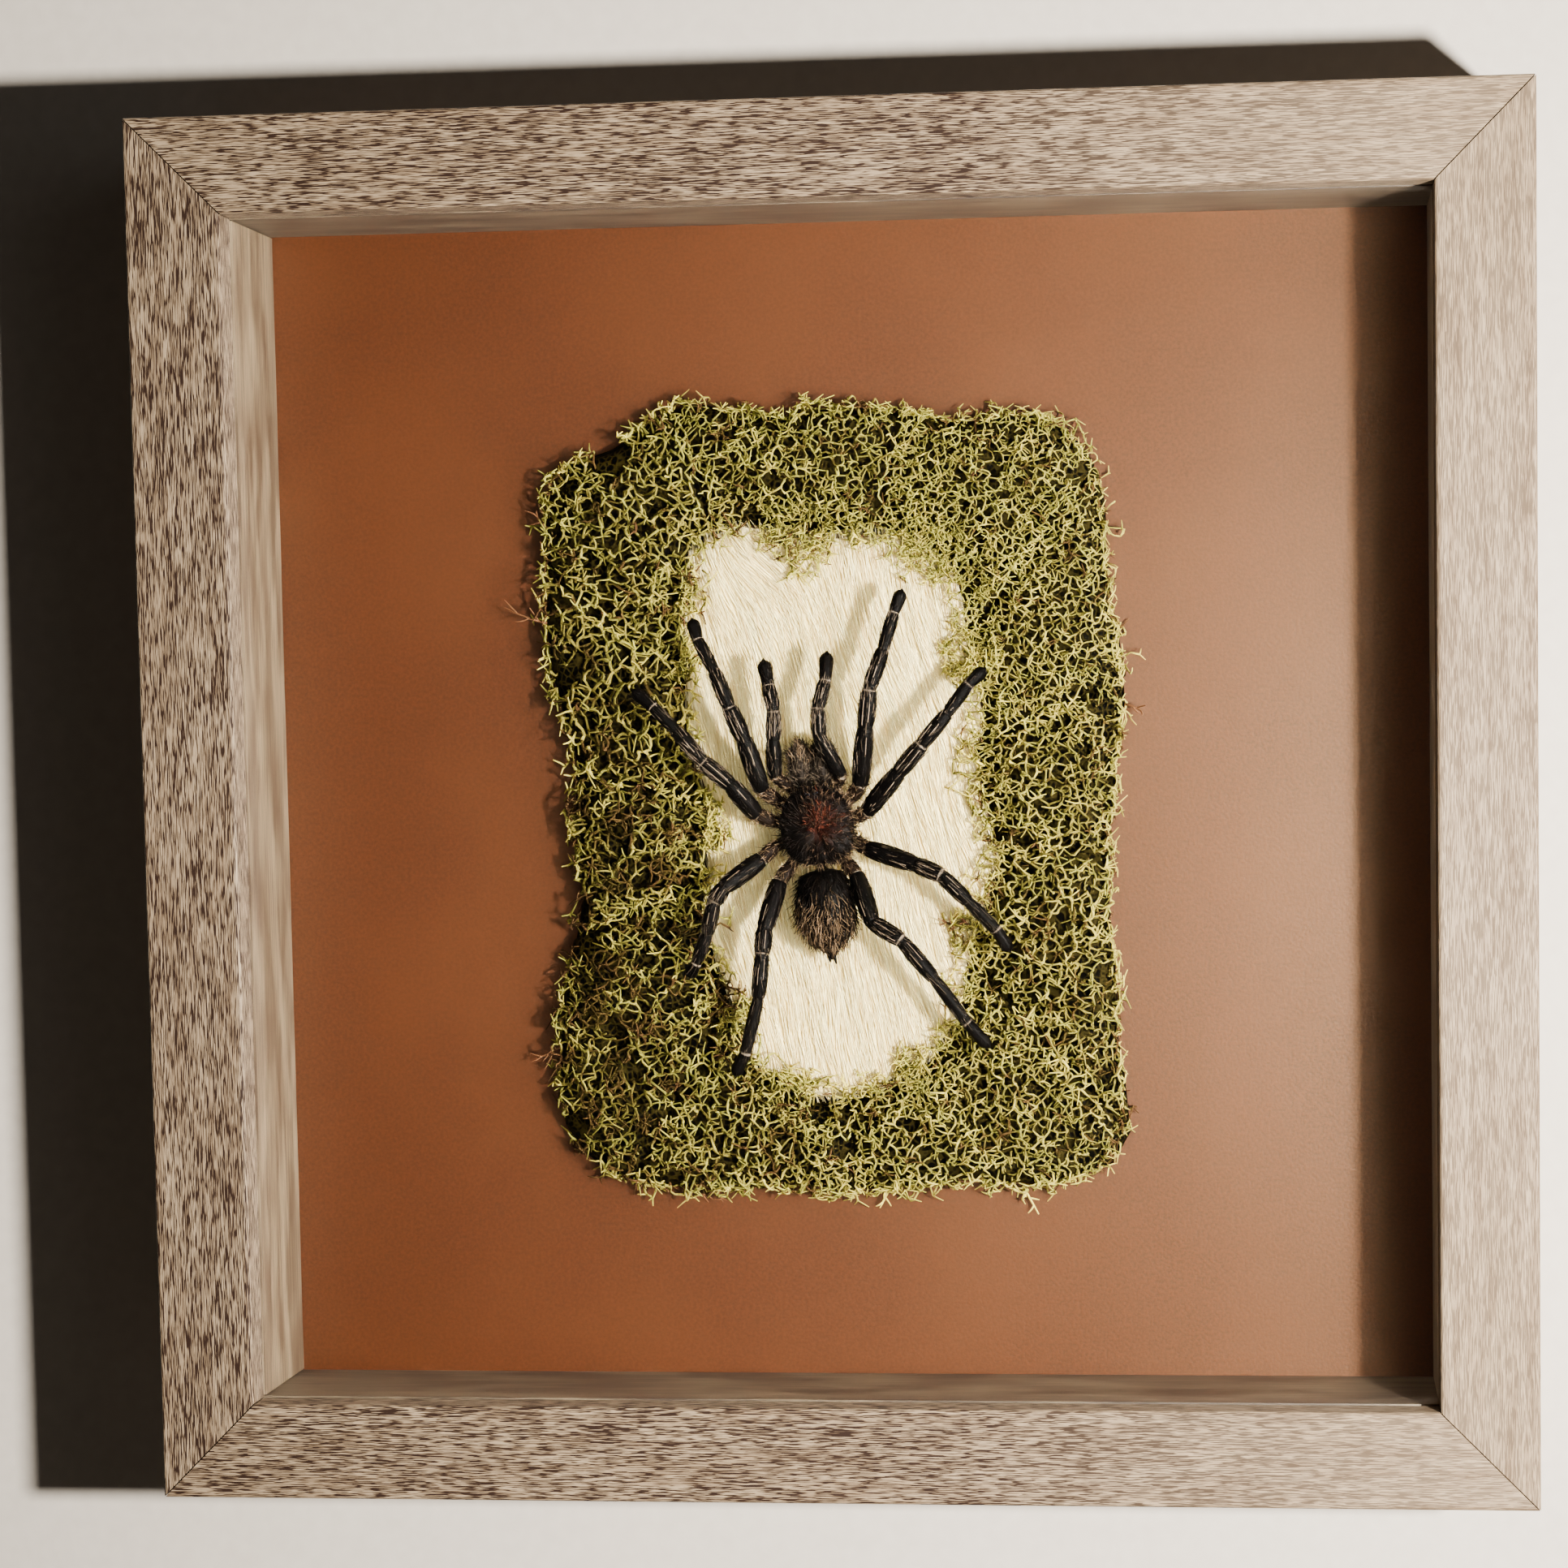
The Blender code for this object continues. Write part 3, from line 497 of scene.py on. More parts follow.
# Where a limb leaves the carapace, seen from the carapace's middle, then for each further segment a heading
# in degrees and a length, and the height of each joint, in mm.
LIMBS = {
    "leg_left_1": ((-11.0, 6.5), (142, 105, 113, 112, 118, 106), (4.6, 13.7, 9.2, 10.0, 9.6, 5.3),
                   (13.5, 15.0, 20.5, 21.5, 21.0, 20.0, 19.0)),
    "leg_left_2": ((-12.0, 1.0), (155, 126, 138, 129, 134, 141), (4.6, 9.6, 9.5, 10.4, 8.8, 6.8),
                   (13.5, 15.0, 20.0, 22.0, 23.0, 23.0, 22.0)),
    "leg_left_3": ((-11.5, -5.5), (222, 217, 237, 256, 247, 237), (5.0, 11.4, 4.5, 8.3, 8.9, 4.2),
                   (13.5, 15.0, 20.5, 21.5, 20.5, 19.0, 17.0)),
    "leg_left_4": ((-8.0, -11.0), (236, 255, 264, 264, 255, 241), (4.6, 12.0, 6.6, 11.6, 15.4, 6.7),
                   (13.5, 15.0, 20.5, 21.5, 21.0, 19.5, 17.5)),
    "leg_right_1": ((8.8, 7.0), (55, 81, 83, 70, 73, 69), (4.4, 14.6, 10.2, 10.9, 10.1, 5.8),
                    (13.5, 15.0, 20.5, 21.5, 21.0, 20.5, 19.5)),
    "leg_right_2": ((10.0, 1.9), (28, 48, 49, 50, 53, 43), (3.4, 13.3, 9.8, 10.3, 9.4, 5.6),
                    (13.5, 15.0, 20.5, 22.0, 22.0, 21.0, 19.5)),
    "leg_right_3": ((9.6, -4.6), (-26, -17, -22, -45, -47, -60), (3.6, 13.7, 7.4, 9.6, 10.6, 6.4),
                    (13.5, 15.0, 20.0, 21.5, 21.0, 19.0, 17.0)),
    "leg_right_4": ((6.8, -9.4), (-50, -69, -31, -50, -55, -50), (4.8, 12.9, 9.0, 12.9, 14.7, 8.3),
                    (13.5, 15.0, 20.5, 22.0, 21.5, 19.5, 17.5)),
    "palp_left": ((-7.2, 9.8), (141, 89, 87, 102, 102), (4.9, 9.2, 7.8, 6.9, 6.5),
                  (13.5, 15.8, 18.8, 19.5, 18.5, 17.5)),
    "palp_right": ((5.2, 10.9), (60, 116, 92, 76, 87), (2.6, 10.9, 7.6, 7.4, 7.0),
                   (13.6, 16.5, 21.5, 21.5, 20.0, 18.5)),
}


def joints_of(limb):
    """Joints on the page: the coxa's two ends, then each further one a length on along its heading."""
    leaves, headings, lengths, lifts = LIMBS[limb]
    turn = np.radians(headings)
    steps = np.stack([np.cos(turn), np.sin(turn)], 1) * np.array(lengths)[:, None]
    further = np.array(leaves) + np.cumsum(steps, 0)
    inner = np.array(leaves) * COXA_FROM / np.hypot(*leaves)
    flat = np.concatenate([[inner, leaves], further]) + PROSOMA_AT
    return np.c_[flat, [lifts[0], *lifts]]


print("the left front leg ends at", joints_of("leg_left_1")[-1].round(1), "mm")

# %% [markdown]
# A limb takes room: the moss's strands are tested against the axis and the radius of every segment.

# %% Room about the limbs
def radii_of(limb):
    """The radii of a limb's segments."""
    return LEG_RADII if "leg" in limb else PALP_RADII


BONES = [bone for limb in LIMBS for bone in zip(joints_of(limb), joints_of(limb)[1:], radii_of(limb))]


def clear_of_limbs(points, spare):
    """True for each point that is further than a limb's radius and a spare from every limb's axis."""
    clear = np.ones(points.shape[:-1], bool)
    for a, b, radius in BONES:
        t = np.clip((points - a) @ (b - a) / ((b - a) @ (b - a)), 0, 1)
        clear &= np.linalg.norm(points - a - t[..., None] * (b - a), axis=-1) > radius + spare
    return clear


print(len(LIMBS), "limbs of", len(BONES), "segments")

# %% [markdown]
# ## The fur
# The spider lies on a piece of cream pelt. Its straight hair is laid one way, down the page and a little to
# the right, and gathers in pointed locks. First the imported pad's points are read, because its outline says
# where the fur ends and where the moss around it begins.

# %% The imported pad's points
def merged(node):
    """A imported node's points on the page, each once, and its triangles."""
    mesh = nodes[node].data
    room = np.empty(len(mesh.vertices) * 3, np.float32)
    mesh.vertices.foreach_get("co", room)
    mesh.calc_loop_triangles()
    triangles = np.empty(len(mesh.loop_triangles) * 3, np.int32)
    mesh.loop_triangles.foreach_get("vertices", triangles)
    page = to_page(room.reshape(-1, 3).astype(float))
    _, first, number = np.unique(np.round(page, 2), axis=0, return_index=True, return_inverse=True)
    return page[first], number.reshape(-1)[triangles].reshape(-1, 3)


NO_QUADS = np.zeros((0, 4), int)
pad_points, pad_triangles = merged("fur_pad")
rim = pad_points[pad_points[:, 2] < pad_points[:, 2].min() + 0.3]
PAD_AT = (rim[:, :2].max(0) + rim[:, :2].min(0)) / 2
rim_angle = np.arctan2(rim[:, 1] - PAD_AT[1], rim[:, 0] - PAD_AT[0])
rim_order = np.argsort(rim_angle)
rim_reach = np.hypot(*(rim[:, :2] - PAD_AT).T)


def share_of_pad(points):
    """How far out a point is, as a share of the distance from the pad's middle to its edge that way."""
    dx, dz = points[..., 0] - PAD_AT[0], points[..., 1] - PAD_AT[1]
    edge = np.interp(np.arctan2(dz, dx), rim_angle[rim_order], rim_reach[rim_order], period=2 * np.pi)
    return np.hypot(dx, dz) / edge


print("the pad is", np.round(np.ptp(rim[:, :2], axis=0), 1), "mm, its underside at", rim[0, 2].round(2), "mm")

# %% [markdown]
# A strand has to follow the pad's top, which rises and falls. Asking the solid for its height at every point
# of every strand would be slow. So the heights of many spots go into a coarse map once, and the strands read
# that. Nature is never even, so this cell also makes the gentle waves that later turn the fur and lump the
# moss.

# %% Waves and the lie of the pad
MAP_CELL, MAP_MARGIN, FLAT_HEIGHT = 2.0, 8, 0.6


def waves(x, z, size):
    """A gentle unevenness between about -1 and 1: three crossed sine waves, the longest of them size mm."""
    k = 2 * np.pi / size
    one, two, three = k * (x + 0.4 * z), 1.7 * k * (0.6 * z - x) + 1, 2.3 * k * (z + 0.2 * x) + 2
    return (np.sin(one) + np.sin(two) + np.sin(three)) / 3


def lie_of_pad(spots):
    """The pad's height in cells of 2 mm, each the mean of its spots; beyond the pad the map is flat."""
    low = spots[:, :2].min(0) - MAP_MARGIN
    cells = np.ceil((spots[:, :2].max(0) + MAP_MARGIN - low) / MAP_CELL).astype(int)
    cell = np.floor((spots[:, :2] - low) / MAP_CELL).astype(int) @ [cells[1], 1]
    number = np.bincount(cell, minlength=cells.prod())
    total = np.bincount(cell, weights=spots[:, 2], minlength=cells.prod())
    heights = np.where(number > 0, total / np.maximum(number, 1), FLAT_HEIGHT).reshape(cells)

    def height(points):
        """The mean of each point's four nearest cells, weighted by how near their middles are."""
        at = np.clip((points[..., :2] - low) / MAP_CELL - 0.5, 0, cells - 1.001)
        (x, z), (right, up) = np.moveaxis(at.astype(int), -1, 0), np.moveaxis(at % 1, -1, 0)
        near = heights[x, z] * (1 - right) + heights[x + 1, z] * right
        far = heights[x, z + 1] * (1 - right) + heights[x + 1, z + 1] * right
        return near * (1 - up) + far * up
    return height


print("waves along a line:", np.round(waves(np.arange(0, 90, 15), 0.0, 90), 2))

# %% [markdown]
# The heading of the laid hair turns a little from place to place, and most of all in a whorl at the upper
# left. Its tips gather in locks. Here a lock is a narrow cell of the page, long along the heading, and the
# strands whose tips fall in it lean to its middle. Each row of cells is moved sideways, so that no row shows.

# %% How the fur is laid
FUR_HEADING = math.radians(-76)
# The whorl: where it is, how far it turns the hair in radians, and how wide it is in square mm.
WHORL_AT, WHORL_TURN, WHORL_SPREAD = (-22, 62), 0.6, 160
# A lock's length and width in mm.
LOCK_LONG, LOCK_WIDE = 9.0, 3.6


def level_heading(turn, rise=0.0):
    """Vectors (cos, sin, rise) for angles on the page in radians."""
    return np.stack([np.cos(turn), np.sin(turn), rise + 0 * turn], 1)


def laid(spots):
    """The way the hair lies at each spot, and across it: the heading turned by waves and the whorl."""
    x, z = spots[:, 0], spots[:, 1]
    turn = FUR_HEADING + 0.16 * waves(x, z, 90) + 0.10 * waves(z, x, 24)
    turn += WHORL_TURN * np.exp(-((x - WHORL_AT[0]) ** 2 + (z - WHORL_AT[1]) ** 2) / WHORL_SPREAD)
    return level_heading(turn), level_heading(turn + np.pi / 2)


def off_lock(tips, side):
    """How far each tip is off the middle of the lock it falls in, in mm."""
    along = tips @ [math.cos(FUR_HEADING), math.sin(FUR_HEADING), 0]
    column = ((tips * side).sum(1) + 1.7 * np.sin(5.1 * np.floor(along / LOCK_LONG))) / LOCK_WIDE
    return (column - np.floor(column) - 0.5) * LOCK_WIDE


print("at the pad's middle the hair lies along", laid(np.array([[*PAD_AT, 0]]))[0].round(2)[0])

# %% [markdown]
# Some seven thousand strands, each as thick as a wisp of real hairs, cover the pad about twice over: single
# hairs would need a hundred times as many. They are laid, not standing, so each one is a flat arch: its root
# is down in the pad, and its middle comes to the top.

# %% Fur strands
# How many strands are sown, how long they are and their radius in mm.
FUR_STRANDS, FUR_LENGTH, FUR_THICK = 7200, (11.0, 21.0), 0.11
# The least and the greatest height of a strand in mm, and how far out one may reach, as a share of the pad.
FUR_LOW, FUR_TOP, FUR_OVERHANG = 0.4, 6.4, 1.12
CREAM, IVORY, STRAW = (0.98, 0.82, 0.36), (1.0, 0.92, 0.50), (0.84, 0.65, 0.27)
# At each point of a strand: how far it rises over the pad in mm, and its share of the thickness.
ARCH, FUR_TAPER = np.array([-0.5, 0.25, 0.3, -0.1]), np.array([0.5, 1.0, 0.9, 0.3])


def fur(rng):
    """Strands along the laid heading; each bends to its lock's middle and follows the pad's map."""
    spots, normals, _ = sow(Surface(pad_points, NO_QUADS, pad_triangles, CREAM), 8 * FUR_STRANDS, rng)
    spots = spots[normals[:, 2] > 0.1]
    height = lie_of_pad(spots)
    spots = spots[:FUR_STRANDS]
    count = len(spots)
    heading, side = laid(spots)
    lengths = rng.uniform(*FUR_LENGTH, count)
    starts = spots - heading * (lengths * rng.uniform(0.2, 0.8, count))[:, None]
    tips = starts + heading * lengths[:, None]
    bends = side * (-0.75 * off_lock(tips, side) / lengths)[:, None] + rng.normal(0, 0.02, (count, 3))
    paths = grow(starts, heading + rng.normal(0, 0.03, (count, 3)), lengths, bends, len(ARCH))
    # A strand that would cross the pad's edge is made shorter about its own spot.
    for shorter in (0.65, 0.45, 0.3):
        over = (share_of_pad(paths) > FUR_OVERHANG).any(1)
        paths[over] = spots[over][:, None] + (paths[over] - spots[over][:, None]) * shorter
    # Strands lie on the pad's top or up to 0.6 mm down in it.
    paths[:, :, 2] = np.clip(height(paths) + ARCH - rng.uniform(0, 0.6, (count, 1)), FUR_LOW, FUR_TOP)
    kept = (share_of_pad(paths) < FUR_OVERHANG).all(1)
    paths, mix = paths[kept], rng.random((count, 1, 1))[kept]
    radii = FUR_THICK * rng.uniform(0.6, 1.4, (len(paths), 1)) * FUR_TAPER
    tint = np.where(mix < 0.12, STRAW, np.array(CREAM) * (1 - mix) + np.array(IVORY) * mix)
    return tubes(paths, radii, 3, tint)


print(FUR_STRANDS, "strands of", FUR_LENGTH, "mm are sown")

# %% [markdown]
# Fur looks soft because light grazes its many sides. The strands give that by themselves, and a little sheen
# on the shader helps where they are too coarse. Long streaks along the heading make bundles of hair paler or
# deeper. Under the strands lies a low mat in the pad's shape, so that the pad is closed.

# %% Fur finish and mat
# The streaks' grain in mm along x, y and z, and its turn to the hair's heading.
STREAK, STREAK_TURN = (0.5, 6, 9), math.radians(-14)
fur_finish, tree = new_finish("cream_fur", 0.5, Sheen_Weight=0.2, Sheen_Roughness=0.5)
streaks = grained(tree, STREAK, 3.0, 0.6, turn=(0, STREAK_TURN, 0))
feed(tree, times(tree, tint_of(tree), ramp(tree, streaks, (0.3, (0.86, 0.80, 0.68)), (0.65, 1.0))))
bump(tree, streaks, 0.3, 0.0003)

# The mat lies this far below the pad's top in mm. Where the pad is lower than the second, it has this share.
MAT_SINK, MAT_LOW, MAT_SHARE = 0.8, 2.5, 0.6
mat_points, top = pad_points.copy(), pad_points[:, 2]
mat_points[:, 2] = np.where(top > MAT_LOW, top - MAT_SINK, top * MAT_SHARE)
mat = Surface(mat_points, NO_QUADS, pad_triangles, np.array(CREAM) * 0.9)
put_in("fur_laid", join([mat, fur(np.random.default_rng(3))]), fur_finish, "fur_pad")

# %% [markdown]
# ## The moss
# Reindeer moss is a lichen: a cushion of hollow stems that fork every few millimetres, lean on one another
# and end in fine forked tips, which all stop at the cushion's surface. From outside one sees a net of curved
# strands with black gaps. It could be grown fork by fork, but then the tips rarely meet. So each clump starts
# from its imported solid: forks are sown just under its surface and joined, which gives the net at once. The
# clumps differ in how coarse, how yellow and how dead they are, and that is written down first.

# %% How each clump looks
GREEN_TIP, YELLOW_TIP, DEAD_TIP = (0.37, 0.34, 0.058), (0.59, 0.49, 0.090), (0.06, 0.026, 0.012)
# Painted shade: the deep stems' colour and the core's near black stand for where no light gets in.
SHADED_DEEP_STEM, PAINTED_SHADE_BLACK = (0.032, 0.023, 0.0055), (0.0003, 0.0002, 0.0001)
# Clump: size of its strands, distance between its forks in mm, share of yellow and share of dead strands.
CLUMP_LOOKS = {1: (0.97, 2.25, 0.65, 0.07), 2: (0.82, 1.87, 0.60, 0.05), 3: (0.77, 1.77, 0.35, 0.04),
               4: (0.88, 2.05, 0.28, 0.13), 5: (1.05, 2.5, 0.45, 0.08), 6: (1.22, 2.9, 0.60, 0.10),
               7: (1.10, 2.6, 0.55, 0.22), 8: (1.03, 2.35, 0.40, 0.24), 9: (1.00, 2.3, 0.52, 0.13),
               10: (0.97, 2.2, 0.60, 0.05), 11: (1.01, 2.35, 0.68, 0.08)}
print(len(CLUMP_LOOKS), "clumps, finest", min(look[0] for look in CLUMP_LOOKS.values()))

# %% [markdown]
# A net needs forks at even but not regular distances, or it looks like a sieve. One fork is taken from each
# cell of a lattice, at a random place in it. Then a strand joins each pair of forks that has no third fork
# between them, which gives closed meshes, as in the real cushion.

# %% Forks and the strands between them
# Only so many of a fork's nearest others can be joined to it. A strand's sag is a share of its length.
NEAREST, SAG = 7, 0.2


def spaced(spots, gap, rng):
    """Numbers of evenly spread spots: in each cell of a lattice, the one nearest a random place."""
    lattice = spots / gap + rng.random(3)
    cell = np.floor(lattice).astype(int)
    number = np.unique(cell, axis=0, return_inverse=True)[1].reshape(-1)
    off = ((lattice - cell - rng.uniform(0.05, 0.95, (number.max() + 1, 3))[number]) ** 2).sum(1)
    order = np.lexsort([off, *cell.T])
    first = np.r_[True, (np.diff(cell[order], axis=0) != 0).any(1)]
    return order[first]


def neighbours(forks, furthest):
    """Pairs of forks with no third one nearer to both than they are to each other, and not too far apart."""
    apart = np.linalg.norm(forks[:, None] - forks[None], axis=-1)
    np.fill_diagonal(apart, np.inf)
    near = np.argsort(apart, axis=1)[:, :NEAREST]
    pairs = np.sort(np.stack([np.repeat(np.arange(len(forks)), NEAREST), near.ravel()], 1), axis=1)
    one, two = np.unique(pairs, axis=0).T
    length = apart[one, two]
    parted = (np.maximum(apart[one], apart[two]) < length[:, None]).any(1)
    kept = ~parted & (length < furthest)
    return one[kept], two[kept]


def sagging(starts, ends, rng, stations):
    """Paths between two places: a line plus 4 t (1 - t) times a sag of about a fifth of its length."""
    t = np.linspace(0, 1, stations)[None, :, None]
    length = np.linalg.norm(ends - starts, axis=1, keepdims=True)
    sag = rng.normal(0, SAG, starts.shape) * length
    return starts[:, None] * (1 - t) + ends[:, None] * t + (4 * t * (1 - t)) * sag[:, None]


print("a fork may be joined to its", NEAREST, "nearest others")

# %% [markdown]
# Where the forks go gives the ring its outline. Tongues of moss hang over the fur, so they get more forks.
# Holes and dips in the outer edge get none, and show the dark inside. The side that is glued to the board
# gets none, and neither do the seams deep down, where the next clump closes them.

# %% Where the forks go
# Tongues: where on the page, how wide and how far over the fur, in mm. Dips: where and how wide.
TONGUES = np.array([(-10, 71, 13, 9), (24, 67, 13, 6), (37, 38, 13, 8), (41, 8, 9, 4), (33, -34, 8, 6),
                    (41, -54, 10, 4), (-44, 57, 11, 6), (-42, 40, 9, 3), (-38, -6, 12, 5), (-36, -57, 12, 5),
                    (-14, -77, 10, 4), (20, -76, 12, 5)], float)
DIPS = np.array([(-61, 93, 5.5), (-72, 37, 5), (-72, -36, 4), (-74, -86, 4)], float)
# Where slow waves rise above this, the net has a hole. Dead moss has more of them.
HOLES, HOLES_DEAD, HOLE_SIZE = 1.15, 2.0, 23
SOWN = 16000


def off_places(spots, places):
    """Distance over the page from each spot to each place."""
    return np.hypot(spots[:, None, 0] - places[:, 0], spots[:, None, 1] - places[:, 1])


def across_and_along(spots, normals):
    """How far each side looks away from the fur's middle (1) or to it (-1), and along the ring (-1 to 1)."""
    outwards = unit(spots[:, :2] - PAD_AT)
    round_it = np.stack([-outwards[:, 1], outwards[:, 0]], 1)
    return (normals[:, :2] * outwards).sum(1), (normals[:, :2] * round_it).sum(1)


def fork_places(solid, gap, dead, rng):
    """Places on the solid for the forks, and their normals: even, but thrice as many over tongues."""
    tops, normals, _ = sow(solid, SOWN, rng)
    along_ring = np.abs(across_and_along(tops, normals)[1])
    seam = (along_ring > 0.9) & (tops[:, 2] < 0.7 * solid.points[:, 2].max())
    open_side = (normals[:, 2] > -0.2) & (tops[:, 2] > 1.0) & ~seam
    tops, normals = tops[open_side], normals[open_side]
    picked = spaced(tops, gap, rng)
    more = np.concatenate([spaced(tops, gap, rng) for _ in range(2)])
    over_tongue = (off_places(tops[more], TONGUES) < 0.6 * TONGUES[:, 2]).any(1)
    to_fur = across_and_along(tops[more], normals[more])[0] < -0.3
    picked = np.r_[picked, more[over_tongue & to_fur]]
    holes = HOLES - HOLES_DEAD * dead - 0.4 * rng.random(len(picked))
    picked = picked[waves(tops[picked, 0], tops[picked, 1], HOLE_SIZE) < holes]
    off_dip = off_places(tops[picked], DIPS) / DIPS[:, 2]
    picked = picked[(off_dip > rng.uniform(0.7, 1.1, (len(picked), 1))).all(1)]
    return tops[picked], normals[picked]


print(len(TONGUES), "tongues over the fur,", len(DIPS), "dips in the outer edge")

# %% [markdown]
# The cushion's top stays level, with soft lumps. Its sides don't: sprigs stick out of them, tongues reach
# over the fur and lie on it, and the outer side leans out above and stands back below. That overhang is what
# gives the ring its ragged edge and its wide shadow.

# %% How the sides lean
# The outer side: how far it leans out above and stands back below, how unevenly it leans out, and the size
# of that unevenness. All but shares are in mm.
OVERHANG, STAND_BACK, RAGGED, RAGGED_SIZE = 5.2, 1.6, (0.60, 1.05), 15
# The share of forks on a sprig and its length, how uneven all sides are, and the reach over the fur.
SPRIG_SHARE, SPRIG_LENGTH, UNEVEN_SIDE, FUR_REACH = 0.18, (0.8, 3.8), 1.6, (1.0, 3.5)
# How high and how wide the lumps of the top are.
LUMP, LUMP_SIZE = 1.5, 19
# Heights above the board of the forks over the fur, and of the lowest others.
ABOVE_FUR, LOWEST_FORK = (6.3, 8.6), 0.7


def leaning(tops, normals, highest, layer, rng):
    """Forks: places moved along their normals by a reach at the sides, less the depth of this net."""
    count = len(tops)
    steep = np.clip(1 - normals[:, 2] / 0.6, 0, 1)
    outwards = across_and_along(tops, normals)[0]
    to_fur, to_board = np.clip(-2 * outwards, 0, 1), np.clip(2 * outwards, 0, 1)
    sprig = (rng.random(count) < SPRIG_SHARE) * rng.uniform(*SPRIG_LENGTH, count)
    reach = rng.uniform(0.0, UNEVEN_SIDE, count) + sprig
    share_up = np.clip(tops[:, 2] / highest, 0, 1)
    ragged = RAGGED[0] + RAGGED[1] * waves(tops[:, 0], tops[:, 1], RAGGED_SIZE)
    reach += to_board * (OVERHANG * share_up * ragged - STAND_BACK * (1 - share_up))
    tongue = (TONGUES[:, 3] * np.exp(-(2 * off_places(tops, TONGUES) / TONGUES[:, 2]) ** 2)).max(1)
    reach += to_fur * (rng.uniform(*FUR_REACH, count) + tongue * rng.uniform(0.1, 1.0, count))
    least, uneven = layer[:2]
    lumps = LUMP * (1 + waves(tops[:, 0], tops[:, 1], LUMP_SIZE))
    shoulder = 4 * steep * (1 - steep) * to_board
    depth = least + (uneven * rng.random(count) ** 1.5 + lumps * (1 - steep)) * (1 - 0.6 * shoulder)
    forks = tops + normals * (steep * reach - depth)[:, None]
    lowest = np.where(share_of_pad(forks) < 1.06, rng.uniform(*ABOVE_FUR, count), LOWEST_FORK)
    forks[:, 2] = np.maximum(forks[:, 2], lowest)
    return forks, depth


print("the outer side leans out by about", OVERHANG, "mm above and stands back by", STAND_BACK, "mm below")

# %% [markdown]
# Living tips are pale yellow-green, and the stems turn brown below them. Further down a painted shade
# darkens them to nearly black, where no light gets in. Fine moss lets more light in than coarse moss, so
# its painted shade lies deeper. Away from the fur a clump is duller and holds more dead strands, in patches.

# %% Colours of the strands
# In mm: how deep down about a third of a tip's colour is left under the painted shade, and the size of the
# dead patches. Then how much duller a clump is away from the fur, as a multiple of its share of dead strands.
LIGHT_DEPTH, DEAD_PATCH, DULL_OUTSIDE = 2.3, 31, 1.9


def tip_colours(tops, yellow, dead, rng):
    """A colour for each fork's tips: green or yellow, dead in patches, and duller far from the fur."""
    count = len(tops)
    far_out = np.clip((share_of_pad(tops) - 1.1) / 0.7, 0, 1)
    dead_here = dead * (0.3 + 2.6 * (waves(tops[:, 0], tops[:, 1], DEAD_PATCH) > 0.25) + 1.2 * far_out)
    tip = np.where((rng.random(count) < yellow)[:, None], YELLOW_TIP, GREEN_TIP)
    tip = np.where((rng.random(count) < dead_here)[:, None], DEAD_TIP, tip)
    tip = tip * rng.uniform(0.75, 1.15, (count, 1))
    return tip * (1 - DULL_OUTSIDE * dead * far_out * rng.uniform(0.6, 1.3, count))[:, None]


def strand_tint(depth, tip, size):
    """Pale tips darkened with depth by a painted shade: tip + (deep - tip)(1 - e^(-depth size / light depth)).
    """
    fade = 1 - np.exp(-np.clip(depth, 0, None) * size / LIGHT_DEPTH)[..., None]
    return tip + (np.array(SHADED_DEEP_STEM) - tip) * fade


print("a yellow tip", YELLOW_TIP, "is 5 mm deep", strand_tint(5.0, np.array(YELLOW_TIP), 1.0).round(3))

# %% [markdown]
# A strand is thickest at its two forks, and a painted shade makes it a little darker between them. Two such
# nets make the clump: the upper one is what one sees, and the lower one, wider and painted darker by its
# depth, fills its gaps. No strand may grow through a leg, so those that would are left out.

# %% One net
# Of each net: its forks' least depth and how unevenly deep they lie, in mm, how far apart they are next to
# the clump's own distance, and a strand's stations.
UPPER_NET, LOWER_NET = (0.2, 1.8, 1.0, 4), (2.2, 1.8, 1.2, 3)
FORK_RADIUS, STRAND_RADIUS, TIP_RADIUS = 0.39, 0.30, 0.15
# The longest strand next to the distance between forks, the space left about a leg in mm, and how bright a
# strand's middle is next to its ends, under a painted shade.
LONGEST_STRAND, LEG_CLEARANCE, SHADED_MIDDLE = 2.4, 0.45, 0.85


def moss_net(solid, look, layer, rng):
    """A net over a solid: its tubes, and its forks with their normals, depths and tips' colours."""
    size, gap, yellow, dead = look
    gap = gap * layer[2]
    tops, normals = fork_places(solid, gap, dead, rng)
    forks, depth = leaning(tops, normals, solid.points[:, 2].max(), layer, rng)
    tip = tip_colours(tops, yellow, dead, rng)
    one, two = neighbours(forks, LONGEST_STRAND * gap)
    t = np.linspace(0, 1, layer[3])
    paths = sagging(forks[one], forks[two], rng, len(t))
    tint = strand_tint(depth, tip, size)
    mixed = tint[one][:, None] + (tint[two] - tint[one])[:, None] * t[:, None]
    at_fork = (t == 0) | (t == 1)
    # Painted shade: the strand's middle is a little darker than its forks.
    mixed = mixed * np.where(at_fork, 1.0, SHADED_MIDDLE)[:, None]
    radii = size * np.where(at_fork, FORK_RADIUS, STRAND_RADIUS) * rng.uniform(0.8, 1.15, (len(one), 1))
    kept = clear_of_limbs(paths, LEG_CLEARANCE).all(1)
    return tubes(paths[kept], radii[kept], 3, mixed[kept]), forks, normals, depth, tip


print("forks of clump 1:", CLUMP_LOOKS[1][1], "mm apart, in its lower net", LOWER_NET[2], "times as much")

# %% [markdown]
# The forks bear pairs of short tips that spread along the surface, most of them at the sides. They are what
# makes the moss look soft, so they are many, and each has only three stations.

